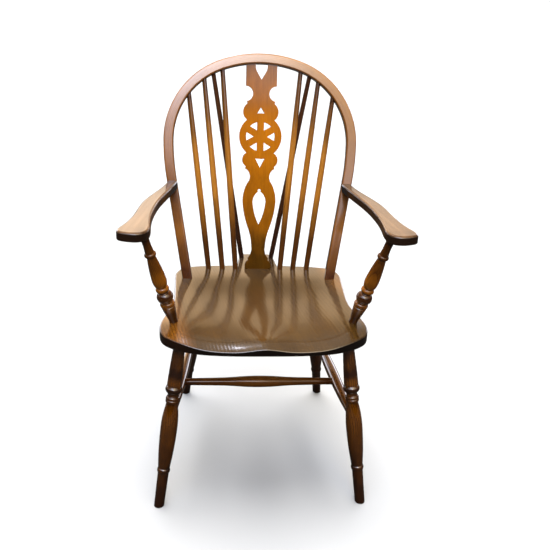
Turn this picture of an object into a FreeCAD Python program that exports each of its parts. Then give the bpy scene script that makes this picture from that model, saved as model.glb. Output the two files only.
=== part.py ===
# Wheel back armchair: a bow back Windsor chair with a saddled seat, a pierced wheel splat,
# six back sticks, two brace sticks on a tail block, two arms on turned posts, and four
# turned legs tied by stretchers.
# Lengths are millimetres and angles are degrees. The sitter faces -Y, +X is the sitter's
# left, Z is up and the floor is z = 0. The origin is under the middle of the chair.
import FreeCAD
import Part
import Sketcher
import math
import os

Vector = FreeCAD.Vector
Placement = FreeCAD.Placement
Rotation = FreeCAD.Rotation

SIZES = {
    # joints
    "glue_gap": 0.1,
    "socket_spare": 0.5,
    # seat
    "seat_height": 436.0,
    "seat_thickness": 38.0,
    "seat_width": 478.0,
    "seat_depth": 425.6,
    "seat_front_reach": 213.6,
    "seat_top_round": 4.5,
    "seat_bottom_round": 7.0,
    "saddle_depth": 12.0,
    "saddle_front_dip": 7.0,
    "saddle_pommel_rise": 8.0,
    "saddle_rim_roll": 6.0,
    # tail block behind the seat
    "tail_length": 88.0,
    "tail_let_in": 9.0,
    "tail_width": 110.0,
    "tail_end_width": 94.0,
    "tail_thickness": 30.0,
    "tail_corner_round": 16.0,
    "tail_edge_round": 4.0,
    "tail_tongue_width": 76.0,
    "tail_tongue_thickness": 12.0,
    "tail_tongue_length": 25.0,
    "tail_tongue_drop": 18.0,
    # bow
    "bow_setback": 131.6,
    "bow_rake": 18.4,
    "bow_height": 558.0,
    "bow_top_radius": 298.0,
    "bow_top_sweep": 20.1,
    "bow_shoulder_radius": 202.5,
    "bow_side_radius": 581.0,
    "bow_foot_inset": 52.6,
    "bow_width": 25.0,
    "bow_thickness": 23.0,
    "bow_edge_round": 4.0,
    "bow_tenon_diameter": 19.0,
    "wedge_thickness": 4.0,
    "wedge_length": 22.0,
    # back sticks
    "stick_setback": 187.0,
    "stick_outer_offset": 132.0,
    "stick_middle_offset": 95.0,
    "stick_inner_offset": 60.0,
    "stick_outer_head_offset": 186.3,
    "stick_middle_head_offset": 147.2,
    "stick_inner_head_offset": 100.7,
    "stick_foot_diameter": 14.0,
    "stick_belly_diameter": 15.6,
    "stick_head_diameter": 12.0,
    "stick_socket_depth": 25.0,
    # brace sticks
    "brace_setback": 264.0,
    "brace_offset": 41.0,
    "brace_head_offset": 124.8,
    "brace_foot_diameter": 13.4,
    "brace_belly_diameter": 13.8,
    "brace_head_diameter": 11.4,
    "brace_socket_depth": 20.0,
    # wheel splat
    "splat_setback": 190.0,
    "splat_thickness": 10.0,
    "splat_foot_width": 70.0,
    "splat_belly_width": 87.4,
    "splat_top_width": 79.0,
    "splat_tenon_width": 56.0,
    "splat_tenon_depth": 13.0,
    "splat_housing_depth": 10.0,
    "wheel_height": 349.0,
    "wheel_diameter": 110.0,
    "wheel_spoke_width": 17.6,
    "wheel_rim_width": 17.6,
    # arms
    "arm_height": 674.0,
    "arm_thickness": 21.0,
    "arm_width": 65.0,
    "arm_top_round": 6.0,
    "arm_bottom_round": 2.5,
    "screw_diameter": 4.2,
    "screw_head_diameter": 8.4,
    "screw_grip": 30.0,
    "pellet_diameter": 9.5,
    "pellet_depth": 6.0,
    # arm posts
    "post_foot_inset": 30.5,
    "post_foot_reach": 110.0,
    "post_splay": 54.5,
    "post_lean": 41.0,
    "post_foot_diameter": 19.8,
    "post_vase_diameter": 32.4,
    "post_bead_diameter": 37.4,
    "post_head_diameter": 17.6,
    "post_collar_diameter": 26.4,
    "post_ring_rise": 50.0,
    "post_bead_rise": 69.5,
    "post_cuff_rise": 90.5,
    "post_vase_rise": 117.0,
    "post_collar_rise": 184.0,
    "post_socket_depth": 24.0,
    "post_head_socket_depth": 13.0,
    # legs
    "front_leg_inset": 46.4,
    "front_leg_reach": 149.0,
    "front_leg_splay": 50.1,
    "front_leg_lean": 77.0,
    "rear_leg_inset": 85.0,
    "rear_leg_reach": 157.0,
    "rear_leg_splay": 45.0,
    "rear_leg_lean": 93.6,
    "leg_head_diameter": 26.0,
    "leg_ring_diameter": 39.2,
    "leg_vase_diameter": 39.0,
    "leg_ankle_diameter": 27.6,
    "leg_foot_diameter": 23.4,
    "leg_socket_depth": 26.0,
    "leg_ring_drop": 111.5,
    "leg_cuff_drop": 137.0,
    "leg_vase_drop": 205.0,
    "leg_ankle_drop": 315.5,
    "leg_bead_height": 13.0,
    # stretchers
    "side_stretcher_front_height": 206.0,
    "side_stretcher_rear_height": 227.0,
    "side_stretcher_diameter": 28.6,
    "cross_stretcher_diameter": 29.2,
    "stretcher_end_diameter": 15.6,
    "cross_end_diameter": 18.0,
    "stretcher_socket_depth": 24.0,
    "cross_socket_depth": 18.0,
    "cross_stretcher_place": 0.42,
}

doc = FreeCAD.newDocument("WheelBackArmchair")
sheet = doc.addObject("Spreadsheet::Sheet", "Sizes")
for row, (alias, value) in enumerate(SIZES.items(), start=1):
    sheet.set(f"A{row}", alias)
    sheet.set(f"B{row}", str(value))
    sheet.setAlias(f"B{row}", alias)
doc.recompute()


class Size:
    """A length that carries the sheet expression it comes from."""

    def __init__(self, value, text):
        self.value = float(value)
        self.text = text

    def __add__(self, other):
        other = as_size(other)
        return Size(self.value + other.value, f"({self.text} + {other.text})")

    def __sub__(self, other):
        other = as_size(other)
        return Size(self.value - other.value, f"({self.text} - {other.text})")

    def __mul__(self, factor):
        factor = as_size(factor)
        return Size(self.value * factor.value, f"({self.text} * {factor.text})")

    def __truediv__(self, factor):
        factor = as_size(factor)
        return Size(self.value / factor.value, f"({self.text} / {factor.text})")

    def __neg__(self):
        return Size(-self.value, f"(0 - {self.text})")

    def __rsub__(self, other):
        return as_size(other) - self

    __radd__ = __add__
    __rmul__ = __mul__


def as_size(value):
    """Give a plain number the form of a Size."""
    if isinstance(value, Size):
        return value
    return Size(value, f"({float(value):.9f})")


def named(alias):
    """The sheet's value under an alias, as a Size."""
    return Size(SIZES[alias], f"Sizes.{alias}")


def number(alias):
    """The sheet's value under an alias, as a plain number."""
    return SIZES[alias]


# Edges that rise less than this count as level.
LEVEL = 0.01


def curve_end(forward, first):
    """The sketch's number for the end of a curve that is met first or last.

    A sketch always turns its arcs anticlockwise, so a clockwise arc is met at its own end first.
    """
    return 1 if forward == first else 2


class Outline:
    """A closed outline in a sketch, with its corner points tied to the sheet."""

    def __init__(self, sketch, x, y):
        self.sketch = sketch
        self.points = [(as_size(x), as_size(y))]
        self.curves = []

    def _here(self):
        x, y = self.points[-1]
        return Vector(x.value, y.value, 0)

    def line(self, x, y):
        """Draw a straight edge to a point."""
        start = self._here()
        self.points.append((as_size(x), as_size(y)))
        self.curves.append((Part.LineSegment(start, self._here()), None, True))
        return self

    def arc(self, via_x, via_y, x, y):
        """Draw a circular edge through one point to another."""
        start = self._here()
        via = (as_size(via_x), as_size(via_y))
        self.points.append((as_size(x), as_size(y)))
        middle = Vector(via[0].value, via[1].value, 0)
        bend = (middle - start).cross(self._here() - middle).z
        self.curves.append((Part.Arc(start, middle, self._here()), via, bend > 0))
        return self

    def spline(self, through, start_tangent, end_tangent):
        """Draw a smooth edge through a list of points, with a given direction at each end."""
        places = [self._here()]
        places += [Vector(as_size(x).value, as_size(y).value, 0) for x, y in through]
        last_x, last_y = through[-1]
        self.points.append((as_size(last_x), as_size(last_y)))
        curve = Part.BSplineCurve()
        curve.interpolate(Points=places, InitialTangent=start_tangent, FinalTangent=end_tangent)
        self.curves.append((curve, None, True))
        return self

    def close(self):
        """Put the outline in its sketch and tie each point to the sheet."""
        count = len(self.curves)
        base = self.sketch.GeometryCount
        self.sketch.addGeometry([curve for curve, via, forward in self.curves], False)
        ties = []
        bound = {}
        for index, (curve, via, forward) in enumerate(self.curves):
            follower = (index + 1) % count
            ties.append(Sketcher.Constraint(
                "Coincident", base + index, curve_end(forward, False),
                base + follower, curve_end(self.curves[follower][2], True)))
            self._pin(ties, bound, base + index, curve_end(forward, True), self.points[index])
        for index, (curve, via, forward) in enumerate(self.curves):
            if via is not None:
                spot = Part.Point(Vector(via[0].value, via[1].value, 0))
                mark = self.sketch.addGeometry(spot, True)
                self._pin(ties, bound, mark, 1, via)
                ties.append(Sketcher.Constraint("PointOnObject", mark, 1, base + index))
        offset = self.sketch.ConstraintCount
        self.sketch.addConstraint(ties)
        for place, text in bound.items():
            self.sketch.setExpression(f"Constraints[{offset + place}]", text)

    def _pin(self, ties, bound, geometry, end, point):
        for kind, axis, length in (("DistanceX", -2, point[0]), ("DistanceY", -1, point[1])):
            if abs(length.value) < 1e-9:
                ties.append(Sketcher.Constraint("PointOnObject", geometry, end, axis))
            else:
                bound[len(ties)] = length.text
                ties.append(Sketcher.Constraint(kind, -1, 1, geometry, end, length.value))


def new_sketch(body, name, role):
    """Add a sketch to a body on one of its own origin planes."""
    sketch = body.newObject("Sketcher::SketchObject", name)
    plane = [item for item in body.Origin.OriginFeatures if item.Role == role][0]
    sketch.AttachmentSupport = [(plane, "")]
    sketch.MapMode = "FlatFace"
    return sketch


def padded(name, sketch, body, length, symmetric=False):
    """Pad a sketch by a length of the sheet."""
    pad = body.newObject("PartDesign::Pad", name)
    pad.Profile = sketch
    if symmetric:
        pad.SideType = "Symmetric"
    pad.setExpression("Length", as_size(length).text)
    body.Tip = pad
    return pad


def along(start, end):
    """The placement whose local Z runs from start towards end."""
    return Placement(start, Rotation(Vector(0, 0, 1), end - start))


def cylinder(name, place, radius, height):
    """A cylinder tied to the sheet, standing on a placement."""
    tool = doc.addObject("Part::Cylinder", name)
    tool.setExpression("Radius", as_size(radius).text)
    tool.setExpression("Height", as_size(height).text)
    tool.Placement = place
    return tool


def block(name, place, length, width, height):
    """A box tied to the sheet, with its corner on a placement."""
    tool = doc.addObject("Part::Box", name)
    tool.setExpression("Length", as_size(length).text)
    tool.setExpression("Width", as_size(width).text)
    tool.setExpression("Height", as_size(height).text)
    tool.Placement = place
    return tool


def cut(name, base, tools):
    """Cut a list of tools out of a base, one sub-part or a stage of it."""
    group = doc.addObject("Part::Compound", f"{name}Tools")
    group.Links = tools
    result = doc.addObject("Part::Cut", name)
    result.Base = base
    result.Tool = group
    return result


def fused(name, pieces):
    """Join the stages of one sub-part."""
    result = doc.addObject("Part::MultiFuse", name)
    result.Shapes = pieces
    return result


def turned(name, profile):
    """Turn a half profile, given as an outline of radius and place along the axis."""
    body = doc.addObject("PartDesign::Body", name)
    sketch = new_sketch(body, f"{name}Profile", "XZ_Plane")
    outline = Outline(sketch, 0, profile[0][1])
    for step in profile:
        if len(step) == 2:
            outline.line(step[0], step[1])
        else:
            outline.arc(step[0], step[1], step[2], step[3])
    outline.line(0, profile[-1][-1])
    outline.line(0, profile[0][1])
    outline.close()
    revolution = body.newObject("PartDesign::Revolution", f"{name}Turning")
    revolution.Profile = sketch
    revolution.ReferenceAxis = (sketch, ["V_Axis"])
    revolution.Angle = 360.0
    body.Tip = revolution
    return body


SIDES = (("left", 1.0), ("right", -1.0))
sub_parts = {}

# The chair stands with its origin under the middle of its overall depth.
rake = math.radians(number("bow_rake"))
bow_rise = number("bow_height") + number("bow_width") / 2
back_most = number("bow_setback") + bow_rise * math.sin(rake) + number("bow_thickness") / 2 * math.cos(rake)
front_foot_reach = number("front_leg_reach") + number("front_leg_lean")
front_most = -front_foot_reach - number("leg_foot_diameter") / 2
middle = (back_most + front_most) / 2


def at(x, y, z):
    """A point of the chair, with y counted from the middle of the seat."""
    return Vector(x, y - middle, z)


# Cutting blocks reach well past the chair.
far = number("seat_width") * 2
flat_turn = Rotation()
seat_half = named("seat_width") / 2
seat_top = number("seat_height")
seat_underside = seat_top - number("seat_thickness")
glue_gap = named("glue_gap")
socket_spare = named("socket_spare")

# Bow plane: local X across, local Y through the thickness to the back, local Z up the rake.
bow_turn = Rotation(Vector(1, 0, 0), -number("bow_rake"))
bow_place = Placement(at(0, number("bow_setback"), seat_top), bow_turn)
bow_foot = seat_half - named("bow_foot_inset")
foot_offset = bow_foot.value

# Middle line of the bow: a flat arc over the top, a shoulder arc each side of it, a long
# arc down each side, and a straight leg that meets that arc smoothly.
sweep = math.radians(number("bow_top_sweep"))
sweep_sin = math.sin(sweep)
sweep_cos = math.cos(sweep)
top_radius = named("bow_top_radius")
shoulder_radius = named("bow_shoulder_radius")
side_radius = named("bow_side_radius")
top_centre = (as_size(0), named("bow_height") - top_radius)
shoulder_centre = ((top_radius - shoulder_radius) * sweep_sin,
                   top_centre[1] + (top_radius - shoulder_radius) * sweep_cos)
side_centre = (shoulder_centre[0] + shoulder_radius - side_radius, shoulder_centre[1])
reach_x = foot_offset - side_centre[0].value
reach_z = side_centre[1].value
reach_turn = math.acos(side_radius.value / math.hypot(reach_x, reach_z))
bow_lean = math.atan2(reach_z, reach_x) - reach_turn
lean_cos = math.cos(bow_lean)
lean_sin = math.sin(bow_lean)


def bow_rise_at(offset):
    """Height of the bow's middle line up its plane, at an offset from the middle."""
    centre, radius = top_centre, top_radius.value
    if offset > radius * sweep_sin:
        centre, radius = shoulder_centre, shoulder_radius.value
    return centre[1].value + math.sqrt(radius ** 2 - (offset - centre[0].value) ** 2)


def on_bow(offset, side):
    """A point of the bow's middle line, above the legs, by its offset from the middle."""
    return bow_place.multVec(Vector(side * offset, 0, bow_rise_at(offset)))


def bow_leg(side, rise):
    """A point of the bow's straight leg, by its height up the bow plane."""
    return bow_place.multVec(Vector(side * (foot_offset + rise * lean_sin / lean_cos), 0, rise))


class Stick:
    """A straight rod between two sockets, with its end radii."""

    def __init__(self, low, high, low_depth, low_radius, high_radius):
        self.axis = high - low
        self.axis.normalize()
        self.low = low - self.axis * low_depth
        self.high = high
        self.length = (self.high - self.low).Length
        self.low_radius = low_radius
        self.high_radius = high_radius

    def low_socket(self, name, depth):
        """The hole for the lower end, open far enough to clear its mouth."""
        start = self.low - self.axis * number("socket_spare")
        return cylinder(name, along(start, self.high), self.low_radius + glue_gap, depth)

    def high_socket(self, name, depth):
        """The hole for the upper end, open far enough to clear its mouth."""
        start = self.high + self.axis * number("socket_spare")
        return cylinder(name, along(start, self.low), self.high_radius + glue_gap, depth)


# Back sticks and brace sticks.
sticks = {}
for kind in ("outer", "middle", "inner"):
    for side_name, side in SIDES:
        low = at(side * number(f"stick_{kind}_offset"), number("stick_setback"), seat_top)
        high = on_bow(number(f"stick_{kind}_head_offset"), side)
        sticks[f"stick_{kind}_{side_name}"] = Stick(
            low, high, number("stick_socket_depth"),
            named("stick_foot_diameter") / 2, named("stick_head_diameter") / 2)
braces = {}
for side_name, side in SIDES:
    low = at(side * number("brace_offset"), number("brace_setback"), seat_top)
    high = on_bow(number("brace_head_offset"), side)
    braces[f"brace_{side_name}"] = Stick(
        low, high, number("brace_socket_depth"),
        named("brace_foot_diameter") / 2, named("brace_head_diameter") / 2)


def make_stick(name, stick, belly_radius, low_depth):
    """Turn one stick: straight ends, with a belly about a third of the way up."""
    length = stick.length
    body = turned(name, [
        (stick.low_radius, 0.0),
        (stick.low_radius, low_depth + stick.low_radius),
        (belly_radius, length * 0.38, stick.high_radius, length - named("bow_width") * 1.2),
        (stick.high_radius, length),
    ])
    body.Placement = along(stick.low, stick.high)
    return body


for stick_name, stick in sticks.items():
    sub_parts[stick_name] = make_stick(
        stick_name, stick, named("stick_belly_diameter") / 2, named("stick_socket_depth"))
for brace_name, brace in braces.items():
    sub_parts[brace_name] = make_stick(
        brace_name, brace, named("brace_belly_diameter") / 2, named("brace_socket_depth"))

# Arm anchor: the middle of the arm's rear end on the bow's front face.
arm_middle = number("arm_height") - number("arm_thickness") / 2
anchor = bow_leg(1.0, (arm_middle - seat_top) / math.cos(rake))
bow_half_run = number("bow_thickness") / 2 / math.cos(rake)

# Screws run level through the bow into the arms, under pellets flush with the bow's back.
screw_head = number("pellet_depth")
pellet_overrun = number("pellet_diameter")
back_plane = block("BehindBow", bow_place.multiply(Placement(
    Vector(-far / 2, number("bow_thickness") / 2, 0), flat_turn)), far, far, far)
screw_tools = []
arm_screw_tools = {}
for side_name, side in SIDES:
    rear = Vector(side * anchor.x, anchor.y + bow_half_run, arm_middle)
    ahead = rear + Vector(0, -far, 0)
    behind = rear + Vector(0, pellet_overrun, 0)
    seat_of_head = rear + Vector(0, -screw_head, 0)
    bore = cylinder(f"PelletBore{side_name}", along(behind, ahead),
                    named("pellet_diameter") / 2, named("pellet_depth") + pellet_overrun)
    shank = cylinder(f"ShankBore{side_name}", along(seat_of_head, ahead),
                     named("screw_diameter") / 2 + glue_gap, named("bow_thickness") * 1.5)
    cone = doc.addObject("Part::Cone", f"HeadBore{side_name}")
    cone.setExpression("Radius1", (named("screw_head_diameter") / 2 + glue_gap).text)
    cone.setExpression("Radius2", (named("screw_diameter") / 2 + glue_gap).text)
    cone.setExpression("Height", (named("screw_diameter") * 0.7).text)
    cone.Placement = along(seat_of_head, ahead)
    screw_tools += [bore, shank, cone]
    grip = number("bow_thickness") / math.cos(rake) - screw_head + number("screw_grip")
    arm_screw_tools[side_name] = cylinder(
        f"PilotBore{side_name}", along(seat_of_head, ahead),
        named("screw_diameter") / 2 + glue_gap, grip + number("socket_spare"))
    screw = turned(f"arm_screw_{side_name}", [
        (named("screw_head_diameter") / 2, 0.0),
        (named("screw_diameter") / 2, named("screw_diameter") * 0.7),
        (named("screw_diameter") / 2, grip - named("screw_head_diameter")),
        (named("screw_diameter") * 0.1, grip),
    ])
    screw.Placement = along(seat_of_head, ahead)
    sub_parts[f"arm_screw_{side_name}"] = screw
    plug = cylinder(f"Plug{side_name}", along(behind, ahead), named("pellet_diameter") / 2 - glue_gap,
                    named("pellet_depth") + pellet_overrun - glue_gap)
    sub_parts[f"pellet_{side_name}"] = cut(f"pellet_{side_name}", plug, [back_plane])

# Bow: a bent hoop on two straight legs, with round tenons wedged through the seat.
bow_body = doc.addObject("PartDesign::Body", "BowHoop")
bow_sketch = new_sketch(bow_body, "BowHoopFace", "XZ_Plane")
half = named("bow_width") / 2
saw_allowance = number("bow_thickness")


def hoop_point(centre, radius, turn):
    """A point of one of the bow's arcs, by its bearing from the arc's centre."""
    return centre[0] + radius * math.cos(turn), centre[1] + radius * math.sin(turn)


def hoop_edge(offset):
    """The right half of one edge of the bow, from foot to top, as straight and round steps."""
    lean = -bow_lean
    shoulder = math.pi / 2 - sweep
    foot = (bow_foot - saw_allowance * lean_sin / lean_cos + offset * lean_cos,
            offset * (-lean_sin) - saw_allowance)
    side = side_radius + offset
    bend = shoulder_radius + offset
    crown = top_radius + offset
    return [
        [foot],
        [hoop_point(side_centre, side, lean)],
        [hoop_point(side_centre, side, lean / 2), hoop_point(side_centre, side, 0.0)],
        [hoop_point(shoulder_centre, bend, shoulder / 2),
         hoop_point(shoulder_centre, bend, shoulder)],
        [(as_size(0), top_centre[1] + crown)],
    ]


def flip(point):
    """The same point on the other side of the middle line."""
    return -point[0], point[1]


def draw_hoop_edge(outline, steps, downward):
    """Draw one whole edge of the bow, over the top from foot to foot."""
    mirrored = [[flip(point) for point in step] for step in steps]
    near, away = (mirrored, steps) if downward else (steps, mirrored)
    outline.line(*near[1][0])
    outline.arc(*near[2][0], *near[2][1])
    outline.arc(*near[3][0], *near[3][1])
    outline.arc(*near[4][0], *away[3][1])
    outline.arc(*away[3][0], *away[2][1])
    outline.arc(*away[2][0], *away[1][0])
    outline.line(*away[0][0])


outer_edge = hoop_edge(half)
inner_edge = hoop_edge(-half)
bow_outline = Outline(bow_sketch, *outer_edge[0][0])
draw_hoop_edge(bow_outline, outer_edge, False)
bow_outline.line(*flip(inner_edge[0][0]))
draw_hoop_edge(bow_outline, inner_edge, True)
bow_outline.line(*outer_edge[0][0])
bow_outline.close()
bow_pad = padded("BowHoopPad", bow_sketch, bow_body, named("bow_thickness"), True)
doc.recompute()
long_edges = []
for index, edge in enumerate(bow_pad.Shape.Edges, start=1):
    if edge.BoundBox.YLength < LEVEL and edge.Length > number("bow_width") * 1.5:
        long_edges.append(f"Edge{index}")
bow_round = bow_body.newObject("PartDesign::Fillet", "BowHoopRound")
bow_round.Base = (bow_pad, long_edges)
bow_round.setExpression("Radius", "Sizes.bow_edge_round")
bow_body.Tip = bow_round
bow_body.Placement = bow_place

# The bow stops on the seat, and a round tenon goes on through it to the underside.


def all_below(name, height):
    """A block that takes away everything below a height."""
    return block(name, Placement(Vector(-far / 2, -far / 2, height - far), flat_turn), far, far, far)


under_bow = all_below("UnderBow", seat_top)
under_seat = all_below("UnderSeat", seat_underside)
bow_on_seat = cut("BowOnSeat", bow_body, [under_bow])
bow_pieces = [bow_on_seat]
tenon_radius = named("bow_tenon_diameter") / 2
wedge_slots = []
bow_bores = []


def wedge_body(name, grow):
    """A tapered wedge, thick end at z = 0 and below it, or its slot when grown by a gap."""
    body = doc.addObject("PartDesign::Body", name)
    sketch = new_sketch(body, f"{name}Taper", "YZ_Plane")
    thick = named("wedge_thickness") / 2 + grow
    thin = named("wedge_thickness") * 0.1 + grow
    low = -(named("wedge_length") * 0.5)
    outline = Outline(sketch, thick, low)
    outline.line(thin, named("wedge_length") + grow)
    outline.line(-thin, named("wedge_length") + grow)
    outline.line(-thick, low)
    outline.line(thick, low)
    outline.close()
    padded(f"{name}Pad", sketch, body, named("bow_tenon_diameter") * 0.9 + grow * 2, True)
    return body


for side_name, side in SIDES:
    root = bow_leg(side, number("bow_width"))
    aim = bow_leg(side, -number("bow_width"))
    run = aim - root
    run.normalize()
    depth_share = (root.z - seat_underside) / -run.z
    exit_point = root + run * depth_share
    tenon_run = depth_share + number("bow_tenon_diameter")
    bow_pieces.append(cylinder(f"BowTenon{side_name}", along(root, aim), tenon_radius, tenon_run))
    bow_bores.append(cylinder(f"BowBore{side_name}", along(root, aim), tenon_radius + glue_gap, tenon_run))
    wedge_place = along(exit_point, root)
    slot = wedge_body(f"WedgeSlot{side_name}", glue_gap)
    slot.Placement = wedge_place
    wedge_slots.append(slot)
    wedge = wedge_body(f"Wedge{side_name}", Size(0, "0"))
    wedge.Placement = wedge_place
    sub_parts[f"bow_wedge_{side_name}"] = cut(f"bow_wedge_{side_name}", wedge, [under_seat])
bow_joined = fused("BowWithTenons", bow_pieces)

# Splat frame: local X across, local Z up from the seat to the bow's inner face.
splat_top = bow_place.multVec(Vector(0, 0, number("bow_height") - number("bow_width") / 2))
splat_foot = at(0, number("splat_setback"), seat_top)
splat_length = (splat_top - splat_foot).Length
splat_rake = math.degrees(math.atan2(splat_top.y - splat_foot.y, splat_top.z - splat_foot.z))
splat_place = Placement(splat_foot, Rotation(Vector(1, 0, 0), -splat_rake))


def splat_slot(name, half_width, low, high):
    """A mortise for one end of the splat."""
    gap = number("glue_gap")
    corner = Vector(-half_width.value - gap, -number("splat_thickness") / 2 - gap, low)
    return block(name, splat_place.multiply(Placement(corner, flat_turn)), half_width * 2 + glue_gap * 2,
                 named("splat_thickness") + glue_gap * 2, high - low)


splat_top_half = named("splat_top_width") / 2
splat_tenon_half = named("splat_tenon_width") / 2
housing_end = splat_length + number("splat_housing_depth")
bow_splat_slot = splat_slot("BowMortise", splat_top_half, splat_length - number("bow_width") / 2,
                            housing_end + number("socket_spare"))
seat_splat_slot = splat_slot("SeatMortise", splat_tenon_half,
                             -number("splat_tenon_depth") - number("socket_spare"),
                             number("splat_tenon_depth"))
bow_sockets = []
for stick_name, stick in list(sticks.items()) + list(braces.items()):
    bow_sockets.append(stick.high_socket(f"Head_{stick_name}", number("bow_width") * 1.5))
bow_tools = bow_sockets + [bow_splat_slot] + screw_tools + wedge_slots + [under_seat]
sub_parts["bow"] = cut("bow", bow_joined, bow_tools)

# Splat: a flat board sawn to a vase below, a six spoked wheel between two pairs of ears,
# and a square head with a V opening.
splat_body = doc.addObject("PartDesign::Body", "splat")
wheel_radius = named("wheel_diameter") / 2
hub = named("wheel_height")
belly = named("splat_belly_width") / 2
foot_half = named("splat_foot_width") / 2
vase_top = hub - wheel_radius * 1.5
head_base = hub + wheel_radius * 2.31
head_run = splat_length - head_base
splat_end = as_size(housing_end)
v_half = splat_top_half * 0.39


def vase(x_share, rise_share):
    """A point of the splat's lower half, by shares of the vase's half width and height."""
    return belly * x_share, vase_top * rise_share


def wheel(x_share, rise_share):
    """A point about the wheel's hub, by shares of the wheel's radius."""
    return wheel_radius * x_share, hub + wheel_radius * rise_share


def head(x_share, rise_share):
    """A point of the V opening, by shares of its half width and of the head's height."""
    return v_half * x_share, head_base + head_run * rise_share


def trace(sketch, start, steps):
    """Draw one closed outline: a step is a point, or a point passed and a point reached."""
    outline = Outline(sketch, *start)
    for step in steps:
        if len(step) == 1:
            outline.line(*step[0])
        else:
            outline.arc(*step[0], *step[1])
    outline.line(*start)
    outline.close()


half_face = new_sketch(splat_body, "SplatHalf", "XZ_Plane")
tenon_low = -named("splat_tenon_depth")
trace(half_face, (0, tenon_low), [
    [(splat_tenon_half, tenon_low)],
    [(splat_tenon_half, 0)],
    [(foot_half, 0)],
    [(foot_half, vase_top * 0.023)],
    [(foot_half * 0.94, vase_top * 0.058), vase(0.58, 0.083)],
    [vase(0.635, 0.101)],
    [vase(0.465, 0.145), vase(0.412, 0.217)],
    [vase(0.478, 0.312), vase(0.66, 0.415)],
    [vase(0.90, 0.555), vase(1.0, 0.676)],
    [vase(0.92, 0.776), vase(0.73, 0.856)],
    [vase(0.584, 0.93), wheel(0.70, -1.5)],
    [wheel(0.665, -1.41)],
    [wheel(0.84, -1.07), wheel(0.645, -0.764)],
    [wheel(1.0, 0.0), wheel(0.645, 0.764)],
    [wheel(0.83, 1.14), wheel(0.635, 1.51)],
    [wheel(0.66, 1.62)],
    [wheel(0.378, 1.96), (splat_top_half, head_base)],
    [(splat_top_half, splat_end)],
    [(0, splat_end)],
])
half_board = padded("SplatHalfBoard", half_face, splat_body, named("splat_thickness"), True)

openings = new_sketch(splat_body, "SplatOpenings", "XZ_Plane")
trace(openings, head(0.0, 0.29), [
    [head(0.67, 0.61)],
    [head(0.9, 0.74), head(1.0, 0.89)],
    [(v_half, splat_end)],
    [(0, splat_end)],
])
trace(openings, vase(0.0, 0.444), [
    [vase(0.24, 0.541), vase(0.387, 0.658)],
    [vase(0.332, 0.722), vase(0.073, 0.774)],
    [vase(0.0696, 0.7964), vase(0.0, 0.801)],
])
trace(openings, wheel(0.0, 1.34), [[wheel(0.0, 1.075)], [wheel(0.088, 1.0714), wheel(0.175, 1.06)]])
trace(openings, wheel(0.0, -1.46), [[wheel(0.0, -1.045)], [wheel(0.11, -1.0393), wheel(0.22, -1.022)]])
spoke_half = named("wheel_spoke_width") / 2
rim_inner = wheel_radius - named("wheel_rim_width")
spoke_run = Size(math.sqrt(rim_inner.value ** 2 - spoke_half.value ** 2),
                 f"sqrt({rim_inner.text}^2 - {spoke_half.text}^2)")


def about_hub(along_run, along_turn, off_run, off_turn):
    """A point found by going from the hub along one bearing and then along another."""
    return (along_run * math.cos(along_turn) + off_run * math.cos(off_turn),
            hub + along_run * math.sin(along_turn) + off_run * math.sin(off_turn))


for sector in (-1, 0, 1):
    bearing = math.radians(60.0 * sector)
    below = bearing - math.radians(30.0)
    above = bearing + math.radians(30.0)
    quarter = math.radians(90.0)
    trace(openings, about_hub(spoke_half * 2, bearing, spoke_half * 0, bearing), [
        [about_hub(spoke_run, below, spoke_half, below + quarter)],
        [about_hub(rim_inner, bearing, spoke_half * 0, bearing),
         about_hub(spoke_run, above, spoke_half, above - quarter)],
    ])
piercing = splat_body.newObject("PartDesign::Pocket", "SplatPiercing")
piercing.Profile = openings
piercing.SideType = "Symmetric"
piercing.Type = "ThroughAll"
splat_mirror = splat_body.newObject("PartDesign::Mirrored", "SplatMirror")
splat_mirror.Originals = [half_board, piercing]
splat_mirror.MirrorPlane = (half_face, ["V_Axis"])
splat_body.Tip = splat_mirror
splat_body.Placement = splat_place
sub_parts["splat"] = splat_body

# Legs: one turning, used four times and sawn level at the floor.
legs = {}
for row_name, row_sign in (("front", -1.0), ("rear", 1.0)):
    for side_name, side in SIDES:
        offset = seat_half.value - number(f"{row_name}_leg_inset")
        reach = number(f"{row_name}_leg_reach")
        foot_at = offset + number(f"{row_name}_leg_splay")
        foot_reach = reach + number(f"{row_name}_leg_lean")
        top = at(side * offset, row_sign * reach, seat_underside)
        foot = at(side * foot_at, row_sign * foot_reach, 0)
        legs[f"leg_{row_name}_{side_name}"] = Stick(
            top, foot, number("leg_socket_depth"),
            named("leg_head_diameter") / 2, named("leg_foot_diameter") / 2)


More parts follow.
